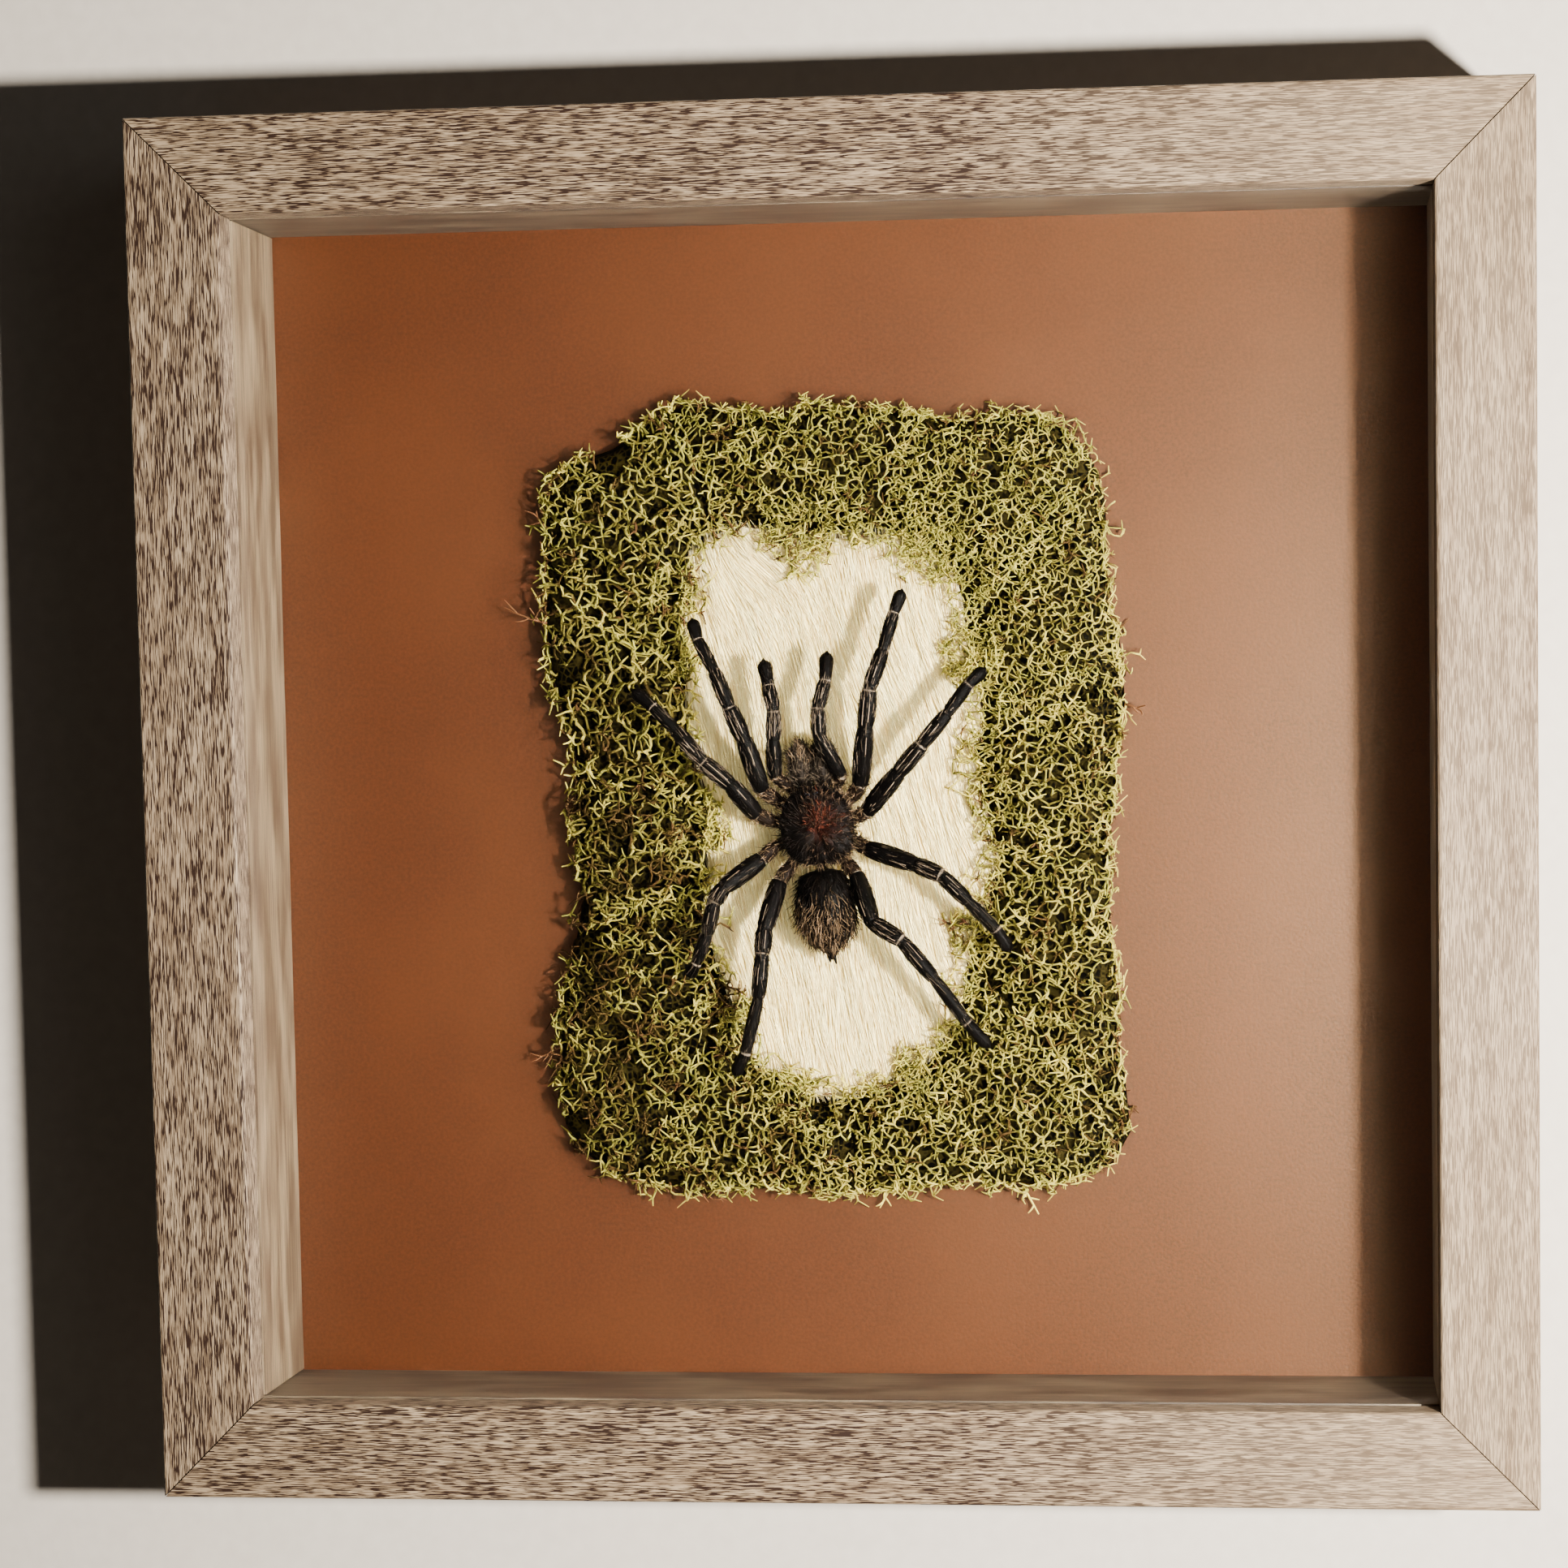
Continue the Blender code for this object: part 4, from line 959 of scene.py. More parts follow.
# %% Tips
# A tip's length in mm and its turn to the side in degrees; how bright its stations are next to its fork; and
# the least height of a tip above the board.
TIP_LENGTH, TIP_SPREAD = (1.1, 2.6), (20, 50)
TIP_TINTS, LOWEST_TIP = np.array([0.95, 1.05, 1.25]), 0.4
# The share of forks that bear tips, on the top and at the sides.
TIPS_ON_TOP, TIPS_AT_SIDES = 0.33, 0.8


def moss_tips(forks, normals, depth, tip, size, rng):
    """Pairs of tips on some forks, spread to both sides of a heading that lies mostly along the surface."""
    bearing = rng.random(len(forks)) < np.where(normals[:, 2] > 0.6, TIPS_ON_TOP, TIPS_AT_SIDES)
    forks, normals, depth, tip = forks[bearing], normals[bearing], depth[bearing], tip[bearing]
    aside = unit(np.cross(normals, unit(rng.normal(0, 1, normals.shape))))
    across = np.cross(normals, aside)
    rise = rng.uniform(0.1, 0.9, (len(forks), 1))
    made = []
    for turned in (-1, 1):
        spread = turned * np.radians(rng.uniform(*TIP_SPREAD, len(forks)))[:, None]
        heading = unit(aside * np.cos(spread) + across * np.sin(spread) + rise * normals)
        bends = across * turned * 0.45 + rng.normal(0, 0.35, heading.shape)
        made.append(grow(forks, heading, rng.uniform(*TIP_LENGTH, len(forks)) * size, bends, 3))
    paths = np.concatenate(made)
    kept = clear_of_limbs(paths, LEG_CLEARANCE).all(1) & (paths[:, :, 2] > LOWEST_TIP).all(1)
    radii = size * np.array([0.9 * STRAND_RADIUS, 0.8 * STRAND_RADIUS, TIP_RADIUS])
    tint = strand_tint(np.tile(depth, 2), np.tile(tip, (2, 1)), size)[:, None] * TIP_TINTS[:, None]
    return tubes(paths[kept], np.tile(radii, (kept.sum(), 1)), 3, tint[kept])


print("tips of", TIP_LENGTH, "mm, spread by", TIP_SPREAD, "degrees")

# %% [markdown]
# A few small twigs have come loose. They lie on the board or stick out of the edge, which is how such a piece
# looks after shipping. There are so few that each is listed one by one, as the photo shows them.

# %% Loose twigs
# Clump, where on the page, height, heading in degrees, length, and 1 where it is dead.
LOOSE_BITS = np.array([
    (1, 74, 25.5, 5, -15, 8, 1), (1, 37, 10, 7.4, 160, 6, 0), (11, 33, -32, 7.4, 170, 5, 1),
    (8, -43, -104, 1.6, -15, 7, 1), (8, -37, -103, 1.4, -100, 4, 1), (9, 8.6, -102, 2, -95, 6, 0),
    (10, 45, -102, 2, -60, 6, 0), (6, -79, 49, 7, 172, 8, 1), (8, -78, -64, 5, 200, 6, 1),
    (5, -78, 74, 6, 165, 7, 1), (4, 3, 72, 8.4, -70, 6, 0), (10, -1, -76, 7, 100, 5, 0)])
# The radii of a twig and of its side twigs in mm, from root to tip.
TWIG_RADII, SIDE_TWIG_RADII = (0.34, 0.32, 0.28, 0.24, 0.16), (0.26, 0.24, 0.22, 0.18, 0.12)


def loose_bits(number, rng):
    """Small forked twigs: a strand that curves, and three side twigs that leave it by turns."""
    _, x, z, height, degrees, length, dead = LOOSE_BITS[LOOSE_BITS[:, 0] == number].T
    tip = np.where(dead[:, None] > 0, np.array(DEAD_TIP) * 1.6, YELLOW_TIP)
    turn, count = np.radians(degrees), len(x)
    bends = rng.uniform(-0.5, 0.5, (count, 3)) * [1, 1, 0.1]
    main = grow(np.stack([x, z, height], 1), level_heading(turn), length, bends, 5)
    made = [main]
    for station, side in ((1, -1), (2, 1), (3, -1)):
        turned = turn + side * rng.uniform(0.5, 1.0, count)
        heading = level_heading(turned, rng.uniform(0, 0.4, count))
        made.append(grow(main[:, station], heading, 0.4 * length, rng.normal(0, 0.3, heading.shape), 5))
    radii = np.repeat([TWIG_RADII, *[SIDE_TWIG_RADII] * 3], count, 0)
    return tubes(np.concatenate(made), radii, 4, np.tile(tip, (4, 1))[:, None])


print(len(LOOSE_BITS), "loose twigs")

# %% [markdown]
# Inside the real cushion is a mass of dead stems in deep shade. A core in the imported solid's shape, but
# smaller, stands for it, painted near black as shade, and stops one from seeing the board through the gaps.
# At the seams it is a little longer than the solid, so that neighbouring clumps meet in the painted shade.

# %% The dark core
# In mm: how far the core is shrunk at its sides and is longer at the seams. Its height as a share of the
# clump's, and what is added to that share at the outer sides.
CORE_SHRUNK, CORE_LONGER = 1.6, 1.2
CORE_HEIGHT, CORE_OUTSIDE = 0.55, 0.12


def core_points(points, triangles):
    """The clump's points moved in along their normals, out along the ring, and down to a share."""
    corners = points[triangles]
    faces = np.cross(corners[:, 1] - corners[:, 0], corners[:, 2] - corners[:, 0])
    normals = np.zeros_like(points)
    for corner in range(3):
        np.add.at(normals, triangles[:, corner], faces)
    level = unit(normals)[:, :2]
    outwards, along = across_and_along(points, level)
    away = unit(points[:, :2] - PAD_AT)
    sideways = along[:, None] * np.stack([-away[:, 1], away[:, 0]], 1)
    core = points.copy()
    core[:, :2] += CORE_LONGER * sideways - CORE_SHRUNK * (level - sideways)
    share = CORE_HEIGHT + CORE_OUTSIDE * np.clip(3 * outwards, 0, 1)
    core[:, 2] = np.where(core[:, 2] > 0, core[:, 2] * share, core[:, 2])
    return core


print("the core is up to", round(CORE_HEIGHT + CORE_OUTSIDE, 2), "of a clump's height")

# %% [markdown]
# The finish is matt: lichen has no gloss. Slow patches and a fine mottle vary the tint that each strand
# brought along. Only the core is tinted black, its painted shade, so the finish can tell where it is. There
# it draws a net of dim lines, painted shade on the strands too deep down to be worth triangles.

# %% The moss's finish
# The drawn net: the width of its meshes in millimetres, and the colour of its lines, a painted shade.
WEB_CELL, PAINTED_SHADE_WEB = 1.7, (0.012, 0.009, 0.002)
moss_finish, tree = new_finish("reindeer_moss", 0.8, Specular_IOR_Level=0.01)
tint = tint_of(tree)
to_edge = add(tree, "TexVoronoi", {"Vector": place(tree), "Scale": 1000 / WEB_CELL}, "Distance",
              feature="DISTANCE_TO_EDGE")
is_core = calc(tree, "LESS_THAN", add(tree, "SeparateColor", {0: tint}), 0.001)
tint = blend(tree, is_core, tint, ramp(tree, to_edge, (0.0, PAINTED_SHADE_WEB), (0.05, PAINTED_SHADE_WEB), (0.16, PAINTED_SHADE_BLACK)))
patch = ramp(tree, grained(tree, 9, 3.0), (0.3, (0.74, 0.76, 0.72)), (0.7, (1.12, 1.1, 1.0)))
mottle = ramp(tree, grained(tree, 0.8), (0.3, (0.82, 0.82, 0.8)), (0.7, 1.08))
feed(tree, times(tree, times(tree, tint, patch), mottle))
bump(tree, grained(tree, 0.35), 0.4, 0.0001)
print("moss finish with", len(tree.nodes), "nodes")

# %% [markdown]
# A whole clump is the upper net with its tips, some stems that go down from its forks, the lower net, the
# core and its loose twigs. All of it becomes one mesh, which takes the imported clump's place.

# %% Whole clumps
# Stems: the share of forks that has one, its length, and how much deeper each station counts for the
# painted shade, in mm.
STEM_SHARE, STEM_LENGTH, STEM_DEPTHS = 0.35, (3.0, 5.0), np.array([0.0, 2.0, 4.0])


def moss_stems(forks, normals, depth, tip, size, rng):
    """Strands from some of the forks down into the clump."""
    some = rng.random(len(forks)) < STEM_SHARE
    starts, count = forks[some], some.sum()
    feet = starts - normals[some] * rng.uniform(*STEM_LENGTH, (count, 1)) + rng.normal(0, 1.0, (count, 3))
    feet[:, 2] = np.maximum(feet[:, 2], LOWEST_FORK)
    stems = sagging(starts, feet, rng, 3)
    kept = clear_of_limbs(stems, LEG_CLEARANCE).all(1)
    tint = strand_tint(depth[some][:, None] + STEM_DEPTHS, tip[some][:, None], size)
    radii = np.full((kept.sum(), 3), size * STRAND_RADIUS) * [1.1, 1.0, 1.0]
    return tubes(stems[kept], radii, 3, tint[kept])


def moss(number, rng):
    """A clump: the upper net with tips and stems, the lower net, the dark core and the loose bits."""
    look = CLUMP_LOOKS[number]
    points, triangles = merged(f"moss_clump_{number:02d}")
    solid = Surface(points, NO_QUADS, triangles, SHADED_DEEP_STEM)
    upper, *forks = moss_net(solid, look, UPPER_NET, rng)
    lower = moss_net(solid, look, LOWER_NET, rng)[0]
    tips, stems = moss_tips(*forks, look[0], rng), moss_stems(*forks, look[0], rng)
    # The core: painted shade, near black, standing in for the deep dark stems.
    core = Surface(core_points(points, triangles), NO_QUADS, triangles, PAINTED_SHADE_BLACK)
    bits = [loose_bits(number, rng)] if (LOOSE_BITS[:, 0] == number).any() else []
    return join([upper, lower, tips, stems, core] + bits)


for number in CLUMP_LOOKS:
    made = moss(number, np.random.default_rng(100 + number))
    put_in(f"moss_sprays_{number:02d}", made, moss_finish, f"moss_clump_{number:02d}")

# %% [markdown]
# ## The spider
# A dried tarantula is black skin under hair of two kinds: short black hair that stands off the legs, and
# longer beige hair that lies along them as pale streaks. The joints show pale skin. All of its pieces share
# one finish, and the tint of each point says which skin or hair it is.

# %% The spider's finish
SKIN, JOINT, COXA_BROWN = (0.0008, 0.0006, 0.0005), (0.11, 0.085, 0.06), (0.004, 0.0022, 0.0014)
HAIR_BLACK, HAIR_DARK = (0.0010, 0.0008, 0.0006), (0.006, 0.004, 0.0028)
HAIR_BEIGE, HAIR_GREY, HAIR_TAN = (0.18, 0.118, 0.065), (0.075, 0.057, 0.040), (0.12, 0.092, 0.064)
HAIR_RUSSET, HAIR_BROWN = (0.050, 0.014, 0.007), (0.046, 0.027, 0.016)
spider_finish, tree = new_finish("spider_hide", 0.6, Specular_IOR_Level=0.02)
dust = ramp(tree, grained(tree, 1.2, 3.0), (0.35, 0.8), (0.7, (1.25, 1.2, 1.15)))
feed(tree, times(tree, tint_of(tree), dust))
feed(tree, ramp(tree, grained(tree, 0.8), (0.3, 0.42), (0.7, 0.68)), "Roughness")
bump(tree, grained(tree, 0.25), 0.35, 0.00008)


def put_spider(name, surface):
    """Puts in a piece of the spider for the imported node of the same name."""
    put_in(name + "_dried", surface, spider_finish, name)


print("spider finish with", len(tree.nodes), "nodes")

# %% [markdown]
# A limb is a profile carried along its joints. Each segment swells a little in its middle and is pinched
# where it meets the next, and the last one ends in a blunt club. The stations crowd at the joints, so that a
# ring of pale skin can be thin.

# %% A limb's profile
LIMB_SIDES, SEGMENT_STATIONS = 26, 12
STATIONS = 0.5 - 0.5 * np.cos(np.pi * (np.arange(SEGMENT_STATIONS) + 0.5) / SEGMENT_STATIONS)
# The club begins this far along the last segment, and its end is rounded over this share more.
CLUB_FROM, CLUB_ROUND = 0.7, 0.32


def limb(name):
    """Straight between joints; the radius is thick (0.80 + 0.20 (1 - |2 t - 1|^3)), or a rounded club."""
    joints, thick = joints_of(name), np.array(radii_of(name))
    count = len(thick)
    segment, t = np.repeat(np.arange(count), SEGMENT_STATIONS), np.tile(STATIONS, count)
    path = joints[segment] + (joints[segment + 1] - joints[segment]) * t[:, None]
    swell = 0.80 + 0.20 * (1 - np.abs(2 * t - 1) ** 3)
    rounded = np.sqrt(np.clip(1 - ((t - CLUB_FROM) / CLUB_ROUND) ** 2, 0.02, 1))
    club = np.where(t < CLUB_FROM, 0.84 + 0.16 * t / CLUB_FROM, rounded)
    radius = thick[segment] * np.where(segment == count - 1, club, swell) * 0.97
    radius = np.where(segment == 0, radius * (0.7 + 0.3 * t), radius)
    return path, radius, segment, t


print("a front leg has", len(limb("leg_left_1")[0]), "rings of", LIMB_SIDES, "points")

# %% [markdown]
# Dried furrows run along the skin, and bald tan lines run along the patella, the tibia and the end of the
# femur, which is typical of tarantulas. Painted on, the lines would vanish under the hair. So they are thin
# raised tubes that take their course from the limb's own points.

# %% A limb's skin
# Bald lines: segment (3 is the patella), angle about the limb with its top at -90, where it begins and ends.
BALD_LINES = ((3, -112, 0.08, 0.82), (3, -70, 0.15, 0.95), (4, -125, 0.05, 0.6), (4, -84, 0.2, 0.8),
              (2, -70, 0.55, 0.9))
LINE_THICK, LINE_TAN = 0.12, (0.14, 0.105, 0.072)
UP = np.array([0.0, 0.0, 1.0])


def limb_surface(name):
    """Tube along the joints; radius times 1 + 0.04 cos(7 a + 2 t + segment) furrows; tint by segment."""
    path, radius, segment, t = limb(name)
    count = segment.max() + 1
    furrow = 1 + 0.04 * np.cos(7 * round_angles(LIMB_SIDES) + 2 * t[:, None] + segment[:, None])
    tube = tubes(path[None], radius[None], LIMB_SIDES, SKIN, UP)
    rings = len(path) * LIMB_SIDES
    centre = np.repeat(path, LIMB_SIDES, 0)
    tube.points[:rings] = centre + (tube.points[:rings] - centre) * furrow.reshape(-1, 1)
    tint = np.where((segment < 2)[:, None], COXA_BROWN, SKIN)
    # The patella's far end, the last joint and the inmost one show pale skin.
    tint[np.isin(segment, (3, count - 2)) & (t > 0.99) | (segment == 1) & (t > 0.95)] = JOINT
    tube.tint[:rings] = np.repeat(tint, LIMB_SIDES, 0)
    lines = []
    for of_segment, turned, begin, end in BALD_LINES:
        side = round(turned / 360 * LIMB_SIDES) % LIMB_SIDES
        along = np.flatnonzero((segment == of_segment) & (t > begin) & (t < end))
        line = tube.points[along * LIMB_SIDES + side]
        lines.append(tubes(line[None], np.full((1, len(line)), LINE_THICK), 3, LINE_TAN))
    upper = np.r_[tube.points[:rings, 2] - centre[:, 2] > -0.4, False, False]
    return tube, lines, np.r_[np.repeat(segment, LIMB_SIDES), 0, count - 1], upper


print(len(BALD_LINES), "bald lines on each limb")

# %% [markdown]
# Three kinds of hair dress a limb. Black hair stands off all round and makes the fuzzy outline. Pale hair
# lies close along the upper side of the long segments, as strokes. Brown and beige hair covers the first two
# segments, next to the body.

# %% Limbs with their hair
def dressed_limb(name, rng):
    """The limb with black hair that stands off it, and pale strokes that lie along its upper side."""
    tube, lines, segment, upper = limb_surface(name)
    black = hairs(tube, rng, np.where(segment < 1, 0.2, 1.0), 360, (1.2, 2.6), 0.06, (14, 40),
                  (HAIR_BLACK, HAIR_DARK))
    on_long = np.isin(segment, (2, 3, 4, 5)) & (segment < segment.max()) & upper
    many = np.where(segment == 3, 1.4, np.where(segment == 2, 0.45, 1.0)) * on_long
    pale = hairs(tube, rng, many, 260, (1.4, 3.6), 0.085, (1, 5), (HAIR_BLACK, HAIR_TAN), 0.08)
    near_body = (segment < 2) & upper
    coxal = hairs(tube, rng, near_body, 170, (1.0, 2.6), 0.10, (8, 40), (HAIR_DARK, HAIR_BEIGE), 0.45)
    return join([tube, black, pale, coxal] + lines)


for step, name in enumerate(LIMBS):
    put_spider(name, dressed_limb(name, np.random.default_rng(20 + step)))

# %% [markdown]
# The body's pieces are closed grids: latitude and longitude on an egg, or a profile turned about an axis.
# They are made in the body's own directions, across, ahead and up, and then turned a few degrees to lie as
# the spider lies on the fur.

# %% Body surfaces
BODY_HEADING = math.radians(96)
AHEAD = np.array([math.cos(BODY_HEADING), math.sin(BODY_HEADING), 0])
ACROSS = np.array([AHEAD[1], -AHEAD[0], 0])
BODY_AXES = np.stack([ACROSS, AHEAD, UP])


def on_body(local, forward, sideways, lift):
    """From across, ahead and up about a place on the body's axis to the page."""
    return np.array([*PROSOMA_AT, 0]) + AHEAD * forward + ACROSS * sideways + UP * lift + local @ BODY_AXES


def closed_grid(rows):
    """Rings closed by a pole at each end. rows is (rings, sides, 3); poles are the end rings' middles."""
    points = np.concatenate([rows.reshape(-1, 3), rows[:1].mean(1), rows[-1:].mean(1)])
    return points, *closed_faces(*rows.shape[:2])


def round_directions(rings, sides):
    """Directions (x, y, z) all over a ball: z = -cos b, x and y = sin b times cos and sin of a."""
    b = np.linspace(0.03, np.pi - 0.03, rings)[:, None]
    a = round_angles(sides)[None]
    return np.sin(b) * np.cos(a), np.sin(b) * np.sin(a), -np.cos(b) * np.ones_like(a)


def tinted(one, two, share):
    """A tint for each point: a share of the way from one colour to another."""
    return np.array(one) + (np.array(two) - one) * np.reshape(share, (-1, 1))


print("the body lies", round(math.degrees(BODY_HEADING)), "degrees round from the page's x")

# %% [markdown]
# The carapace is a shield with a raised head in front, a dimple behind its middle and grooves that run out
# from the dimple to the legs. All of these are small heights added to a dome, each a formula of the place on
# it. The underside closes to the flat sternum between the legs. A few patches on the right are reddish:
# reddish skin with painted glints of the lamp on it.

# %% Carapace and sternum
# In mm: half the width, half the length and the height of the dome, and how high its rim is. Then half the
# width and half the length of the flat sternum, and how high it is.
CARAPACE, CARAPACE_RIM = (9.7, 10.2, 4.0), 16.3
STERNUM, STERNUM_LIFT = (5.0, 6.4), 10.4
# Reddish skin and painted glints of the lamp, in patches on the lit right half.
RED_SKIN_AND_GLINT = (0.020, 0.0036, 0.0016)
# The dimple, from which the hair is combed: across, ahead and up.
COMBED_FROM = (0, -1.5, 0)


def dome_rise(x, y):
    """Added to the dome at (x, y), with its rim at 1: head + tubercle - dimple + 8 grooves + uneven."""
    head = 0.20 * np.exp(-((y - 0.5) / 0.35) ** 2 - (x / 0.4) ** 2)
    tubercle = 0.16 * np.exp(-((y - 0.80) / 0.10) ** 2 - (x / 0.17) ** 2)
    dimple = 0.14 * np.exp(-((y + 0.15) ** 2 + x ** 2) / 0.02)
    reach = np.hypot(x, y + 0.15)
    groove = 0.06 * np.cos(8 * np.arctan2(x, y + 0.15)) * np.clip(reach * 1.4, 0, 1) * (y < 0.6)
    uneven = 0.05 * np.sin(9 * x + 2) * np.sin(8 * y + 1) + 0.03 * np.sin(17 * x * y + 5 * y)
    return head + tubercle - dimple + groove + uneven


def carapace_shell():
    """An egg seen from above: a dome over the rim, and under it sides that draw in to the flat sternum."""
    half_width, half_length, dome = CARAPACE
    x, y, z = round_directions(46, 72)
    # A squarish outline: each direction is stretched by how far it turns to a corner.
    corner = 1 + 0.35 * (x * y) ** 2 / np.maximum(x ** 2 + y ** 2, 0.01) ** 2
    x, y = x * corner, y * corner
    narrowing = 1 - 0.10 * np.maximum(0, y)
    high = dome * (np.abs(z) ** 0.65 + dome_rise(x, y) * z)
    under = np.minimum(1, -z / 0.2)
    wide = 1 - under * (1 - STERNUM[0] / half_width)
    long = 1 - under * (1 - STERNUM[1] / half_length)
    side = np.hypot(x, y) / corner
    spread = np.minimum(1 / np.maximum(side, 0.02), 1 + 0.6 * under)
    over = z >= 0
    rows = np.stack([np.where(over, x * narrowing * half_width, x * spread * narrowing * half_width * wide),
                     np.where(over, y * half_length, y * spread * half_length * long),
                     np.where(over, high, z * (CARAPACE_RIM - STERNUM_LIFT))], -1)
    local, quads, fans = closed_grid(rows)
    x, y, _ = local.T
    # Red patches toward the lit right side: the skin's own red and painted glints.
    spots = np.sin(2.9 * x + 1.3 * y) * np.sin(2.3 * y - 0.9 * x + 1) > 0.1
    red = np.exp(-((x - 2.2) ** 2 / 12 + (y - 1.0) ** 2 / 20)) * (0.1 + 0.9 * spots)
    flow = unit(unit(local - COMBED_FROM) * [1, 1, 0] @ BODY_AXES)
    return Surface(on_body(local, 0, 0, CARAPACE_RIM), quads, fans, tinted(SKIN, RED_SKIN_AND_GLINT, red), flow), local


print("the carapace is", CARAPACE[0] * 2, "mm wide and", CARAPACE[1] * 2, "mm long")

# %% [markdown]
# Pale hair fringes the carapace's rim, more of it to the right, and black hair lies flat on its top, combed
# outwards from the dimple. Brown and russet tufts point all ways on the right half, the lamp's side: they and
# the fuller fringe there are painted light. Eight small eyes sit in two rows on a low mound at the front
# edge: smooth black balls.

# %% Hair and eyes of the carapace
# Across, ahead and size in mm of the four eyes on the right; the other four mirror them.
EYES = ((0.75, 8.25, 0.42), (1.5, 8.6, 0.32), (1.35, 7.6, 0.28), (0.7, 7.5, 0.22))
EYE_LIFT, EYE_BLACK = 3.9, (0.004, 0.004, 0.005)


def prosoma(rng):
    """The shell, its fringe, black hair, brown and russet tufts painted on the lit right, and a ball for each
    eye.
    """
    shell, local = carapace_shell()
    x, y, z = local.T
    # Painted light: more fringe, and the brown and russet tufts, on the lit right side.
    rim = np.exp(-(z / 1.3) ** 2) * np.clip(0.75 + 0.09 * x - 0.06 * y, 0.2, 1)
    lit_right_side = (z > 0.5) & (x > -2.5)
    near_red_glint = lit_right_side * np.exp(-((x - 1.5) ** 2 + (y - 2.0) ** 2) / 11)
    coats = [hairs(shell, rng, *coat) for coat in (
        (rim, 760, (1.4, 3.0), 0.10, (5, 35), (HAIR_DARK, HAIR_BEIGE), 0.4),
        (z > 0.5, 800, (1.4, 3.2), 0.12, (3, 14), (HAIR_BLACK, HAIR_DARK), 0.35),
        (lit_right_side, 500, (0.8, 2.2), 0.16, (3, 14), (HAIR_DARK, HAIR_BROWN), 0.9),
        (near_red_glint, 160, (0.8, 2.0), 0.18, (3, 12), (RED_SKIN_AND_GLINT, HAIR_RUSSET), 0.9))]
    eyes = []
    for across, ahead, size in EYES:
        for side in (-1, 1):
            ball, quads, fans = closed_grid(np.stack(round_directions(8, 10), -1) * size)
            place = on_body(ball + [side * across, ahead, EYE_LIFT], 0, 0, CARAPACE_RIM)
            eyes.append(Surface(place, quads, fans, EYE_BLACK))
    return join([shell] + coats + eyes)


put_spider("prosoma", prosoma(np.random.default_rng(40)))

# %% [markdown]
# The abdomen has dried to a wrinkled bag. It joins the carapace by a thin stalk and ends in two spinnerets.
# It could be sculpted, but a profile turned about the axis is quick to change and always closes. The dense
# hair points to the tail: black at the front and the sides, brown on the rear half, where the light catches
# it.

# %% Abdomen
# Where the bag is: ahead, to the side and up. Its profile from the stalk: radius and place ahead.
ABDOMEN_AT = (-21.8, -0.5, 14.6)
BAG = np.array([(0.4, 12.7), (1.2, 12.4), (1.4, 10.4), (5.0, 9.2), (6.9, 5.6), (7.6, 0.6), (7.2, -3.6),
                (5.4, -7.6), (2.7, -10.0), (1.7, -11.0), (1.3, -12.4), (0.6, -13.6)])
# Spinnerets: across, ahead and how long each is, and their radii from root to tip.
SPINNERETS = ((-0.9, -10.8, 3.4), (0.6, -11.2, 3.6))
SPINNERET_RADII = np.array([[0.62, 0.60, 0.50, 0.48, 0.40, 0.32, 0.16]])


def smooth_through(values, count):
    """A smooth curve through a list of points: each stretch is the cubic that keeps its neighbours' slope."""
    at = np.linspace(0, len(values) - 1.0001, count)
    i, t = at.astype(int), (at % 1)[:, None]
    a, b, c, d = (values[np.clip(i + k, 0, len(values) - 1)] for k in (-1, 0, 1, 2))
    return b + t * (c - a + t * (2 * a - 5 * b + 4 * c - d + t * (3 * (b - c) + d - a))) / 2


def abdomen(rng):
    """The bag's profile turned about the axis: across r cos a, up r sin a, ahead the profile's height."""
    radius, ahead = smooth_through(BAG, 46)[::-1].T[:, :, None]
    a = round_angles(44)
    wide = np.maximum(radius, 0.3) * (1 + 0.02 * np.sin(9 * a + 0.8 * ahead))
    local, quads, fans = closed_grid(np.stack([-wide * np.cos(a), ahead + 0 * a, wide * np.sin(a)], -1))
    points = on_body(local, *ABDOMEN_AT)
    tail = on_body(np.array([[0.0, -15.5, 0.0]]), *ABDOMEN_AT)
    bag = Surface(points, quads, fans, SKIN, unit(tail - points))
    x, y, z = local.T
    rear, middle = 1 / (1 + np.exp((y - 2.5) / 1.2)), np.exp(-(x / 4.0) ** 2)
    skirt = (y > -10.6) & (y < 9.5)
    on_rear = skirt * (z > -4) * rear * (0.3 + middle + 0.5 * (x < -4.5))
    dark = hairs(bag, rng, skirt * (1.15 - 0.8 * rear * middle), 1300, (2.2, 4.2), 0.13, (4, 16),
                 (HAIR_BLACK, HAIR_DARK), 0.3)
    brown = hairs(bag, rng, on_rear, 900, (2.4, 4.6), 0.14, (5, 19), (HAIR_DARK, HAIR_BEIGE), 0.4)
    prongs = []
    for across, ahead, length in SPINNERETS:
        start = on_body(np.array([[across, ahead, 0.4]]), *ABDOMEN_AT)
        path = grow(start, -AHEAD[None], np.array([length]), np.array([[0.05, 0, -0.1]]), 7)
        prongs.append(tubes(path, SPINNERET_RADII, 12, SKIN))
    return join([bag, dark, brown] + prongs)


put_spider("abdomen", abdomen(np.random.default_rng(41)))

# %% [markdown]
# The chelicerae are the two stout jaws in front of the eyes. Each bears a fang that folds back beneath it and
# can't be seen from above. The hair on them is swept forward, dark grey with some long tan bristles.

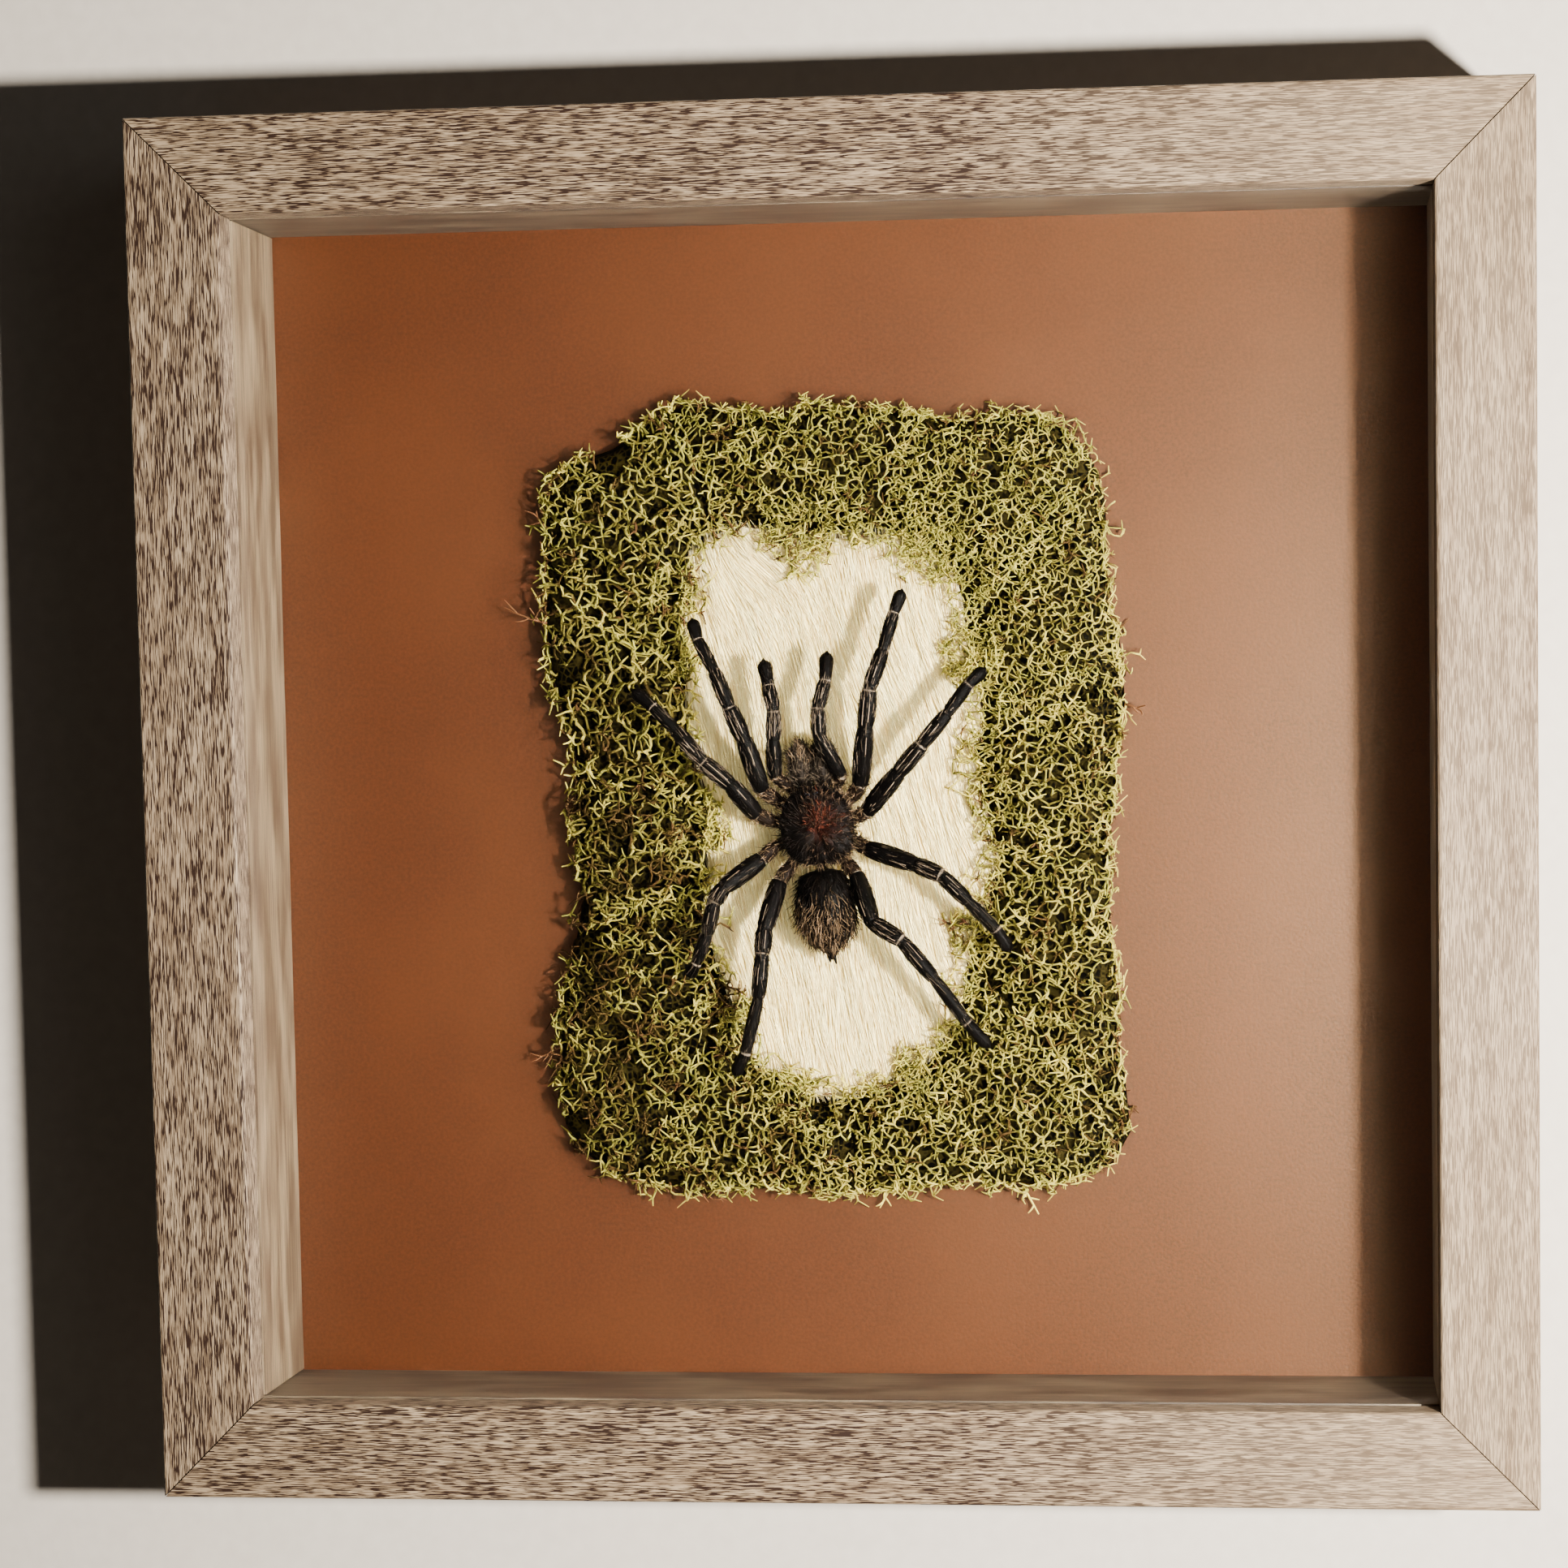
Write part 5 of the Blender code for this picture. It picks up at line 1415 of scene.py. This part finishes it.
# %% Chelicerae and fangs
# Half sizes across, ahead and up, and where the eggs are: ahead on the body's axis, to either side, and up.
CHELICERA, CHELICERA_FORWARD, CHELICERA_LIFT = (3.05, 6.3, 4.5), 15.6, 13.2
CHELICERA_SIDES = {"chelicera_left": -2.95, "chelicera_right": 2.85}
CHELICERA_FRONT, FANG_BLACK = (0.014, 0.010, 0.007), (0.006, 0.005, 0.005)
# The fang, from its base: ahead, up and radius.
FANG = np.array([(1.2, -3.9, 1.05), (0.6, -4.7, 1.0), (-0.6, -5.3, 0.85), (-1.8, -5.4, 0.65),
                 (-3.0, -5.0, 0.42), (-4.1, -4.3, 0.16)])


def chelicera(sideways, rng):
    """An egg ahead of the carapace with hair swept forward, and a curved black fang folded beneath."""
    half_width, half_length, half_height = CHELICERA
    place = CHELICERA_FORWARD, sideways, CHELICERA_LIFT
    x, y, z = round_directions(26, 28)
    rows = np.stack([x * half_width, -z * half_length, y * half_height * (1 + 0.15 * z)], -1)
    local, quads, fans = closed_grid(rows)
    points = on_body(local, *place)
    tint = tinted(SKIN, CHELICERA_FRONT, np.clip(0.5 + 0.5 * local[:, 1] / half_length, 0, 1))
    egg = Surface(points, quads, fans, tint, np.broadcast_to(AHEAD, points.shape))
    grey = hairs(egg, rng, local[:, 2] > -1.5, 620, (1.4, 3.2), 0.13, (3, 20), (HAIR_BLACK, HAIR_GREY), 0.55)
    tan = hairs(egg, rng, local[:, 1] > 0.5, 240, (2.0, 3.8), 0.10, (8, 35), (HAIR_DARK, HAIR_BEIGE), 0.45)
    curve = smooth_through(FANG, 18)
    path = on_body(np.c_[np.zeros(len(curve)), curve[:, :2]], *place)
    return join([egg, grey, tan, tubes(path[None], curve[None, :, 2], 14, FANG_BLACK)])


for name, sideways in CHELICERA_SIDES.items():
    put_spider(name, chelicera(sideways, np.random.default_rng(42)))

# %% [markdown]
# ## Wall, lamps and camera
# The box hangs on a plain pale wall, which bends down to a floor far below, so that no edge shows behind it.
# The wall is only shown from its front: seen from behind it is clear, so that the back of the box can be
# looked at as well.

# %% Wall and floor
# In metres: where the wall is and its top, the radius of the bend, the floor's height and front edge, and
# half the width of both.
WALL_Y, WALL_TOP, COVE, FLOOR_Z, FLOOR_END, STAGE_HALF = 0.0008, 1.3, 0.35, -1.6, -2.6, 1.7
arc = np.radians(np.arange(0, 91, 9))
bend = np.stack([WALL_Y - COVE * (1 - np.cos(arc)), FLOOR_Z + COVE * (1 - np.sin(arc))], 1)
profile = [(WALL_Y, WALL_TOP), *bend, (FLOOR_END, FLOOR_Z)]
corners = [(side * STAGE_HALF, y, z) for side in (-1, 1) for y, z in profile]
strips = len(profile) - 1
stage_mesh = bpy.data.meshes.new("wall_and_floor")
stage_mesh.from_pydata(corners, [], [(k, k + 1, k + 2 + strips, k + 1 + strips) for k in range(strips)])
stage_mesh.shade_smooth()
stage = add_object("wall_and_floor", stage_mesh)
stage.visible_shadow = False

paint, tree = new_finish("pale_wall", 0.9)
rolled = grained(tree, 4, 3.0)
feed(tree, ramp(tree, rolled, (0.3, (0.55, 0.50, 0.44)), (0.7, (0.59, 0.54, 0.475))))
bump(tree, rolled, 0.1, 0.0003)
painted, clear = tree.nodes["Principled BSDF"].outputs[0], add(tree, "BsdfTransparent", {})
from_behind = add(tree, "NewGeometry", {}, "Backfacing")
output = next(node for node in tree.nodes if node.type == "OUTPUT_MATERIAL")
tree.links.new(add(tree, "MixShader", {0: from_behind, 1: painted, 2: clear}), output.inputs["Surface"])
stage_mesh.materials.append(paint)
print("wall faces", [round(value, 2) for value in stage_mesh.polygons[0].normal])

# %% [markdown]
# One small lamp close by on the right gives the box and the moss their dark shadows to the left. A wide soft
# lamp in front fills them a little, and another one lights the back. The sky lights the box only dimly. Where
# nothing else is in view it shows pale, which gives the back and the sides a pale ground too.

# %% Lamps and sky
MIDDLE = Vector((0.0, -0.03, CENTRE_Z))
WARM, NEUTRAL = (1.0, 0.94, 0.85), (1.0, 0.98, 0.95)
# Where each lamp is and how wide it is, in metres, its power in watts, and its colour.
LAMPS = {"near_lamp": ((0.405, -0.574, -0.205), 0.05, 28.0, WARM),
         "soft_front": ((0.95, -1.0, 0.15), 0.8, 0.8, NEUTRAL),
         "soft_back": ((0.5, 1.4, 0.5), 1.2, 24.0, NEUTRAL)}
for name, (at, size, power, colour) in LAMPS.items():
    light = bpy.data.lights.new(name, "AREA")
    light.shape = "DISK"
    light.size, light.energy, light.color = size, power, colour
    made = add_object(name, light)
    made.location = at
    made.rotation_euler = (MIDDLE - Vector(at)).to_track_quat("-Z", "Y").to_euler()

# The sky's strength as a light, and as a ground behind the box.
SKY_LIGHT, SKY_SEEN, SKY_COLOUR = 0.009, 0.9, (1.0, 0.94, 0.88, 1)
sky = bpy.data.worlds.new("pale_sky")
bpy.context.scene.world = sky
sky.use_nodes = True
tree, ground = sky.node_tree, sky.node_tree.nodes["Background"].inputs
ground[0].default_value = SKY_COLOUR
seen = add(tree, "LightPath", {}, "Is Camera Ray")
tree.links.new(add(tree, "MapRange", {0: seen, 3: SKY_LIGHT, 4: SKY_SEEN}), ground[1])
print(len(LAMPS), "lamps and a sky of strength", SKY_LIGHT)

# %% [markdown]
# The photograph was taken from the right, at the height of the box's upper half, and its frame was cropped
# off centre. The camera stands where that view comes from, with a small shift for the crop.

# %% Camera and end
eye = bpy.data.cameras.new("eye")
eye.sensor_width, eye.lens = 36.0, 69.99
eye.shift_x, eye.shift_y = -0.145, 0.06
eye.clip_start = 0.01
camera = add_object("eye", eye)
camera.location = (0.1161, -0.8149, -0.1377)
camera.rotation_euler = [math.radians(value) for value in (86.507, 0.794, 5.162)]
bpy.context.scene.camera = camera
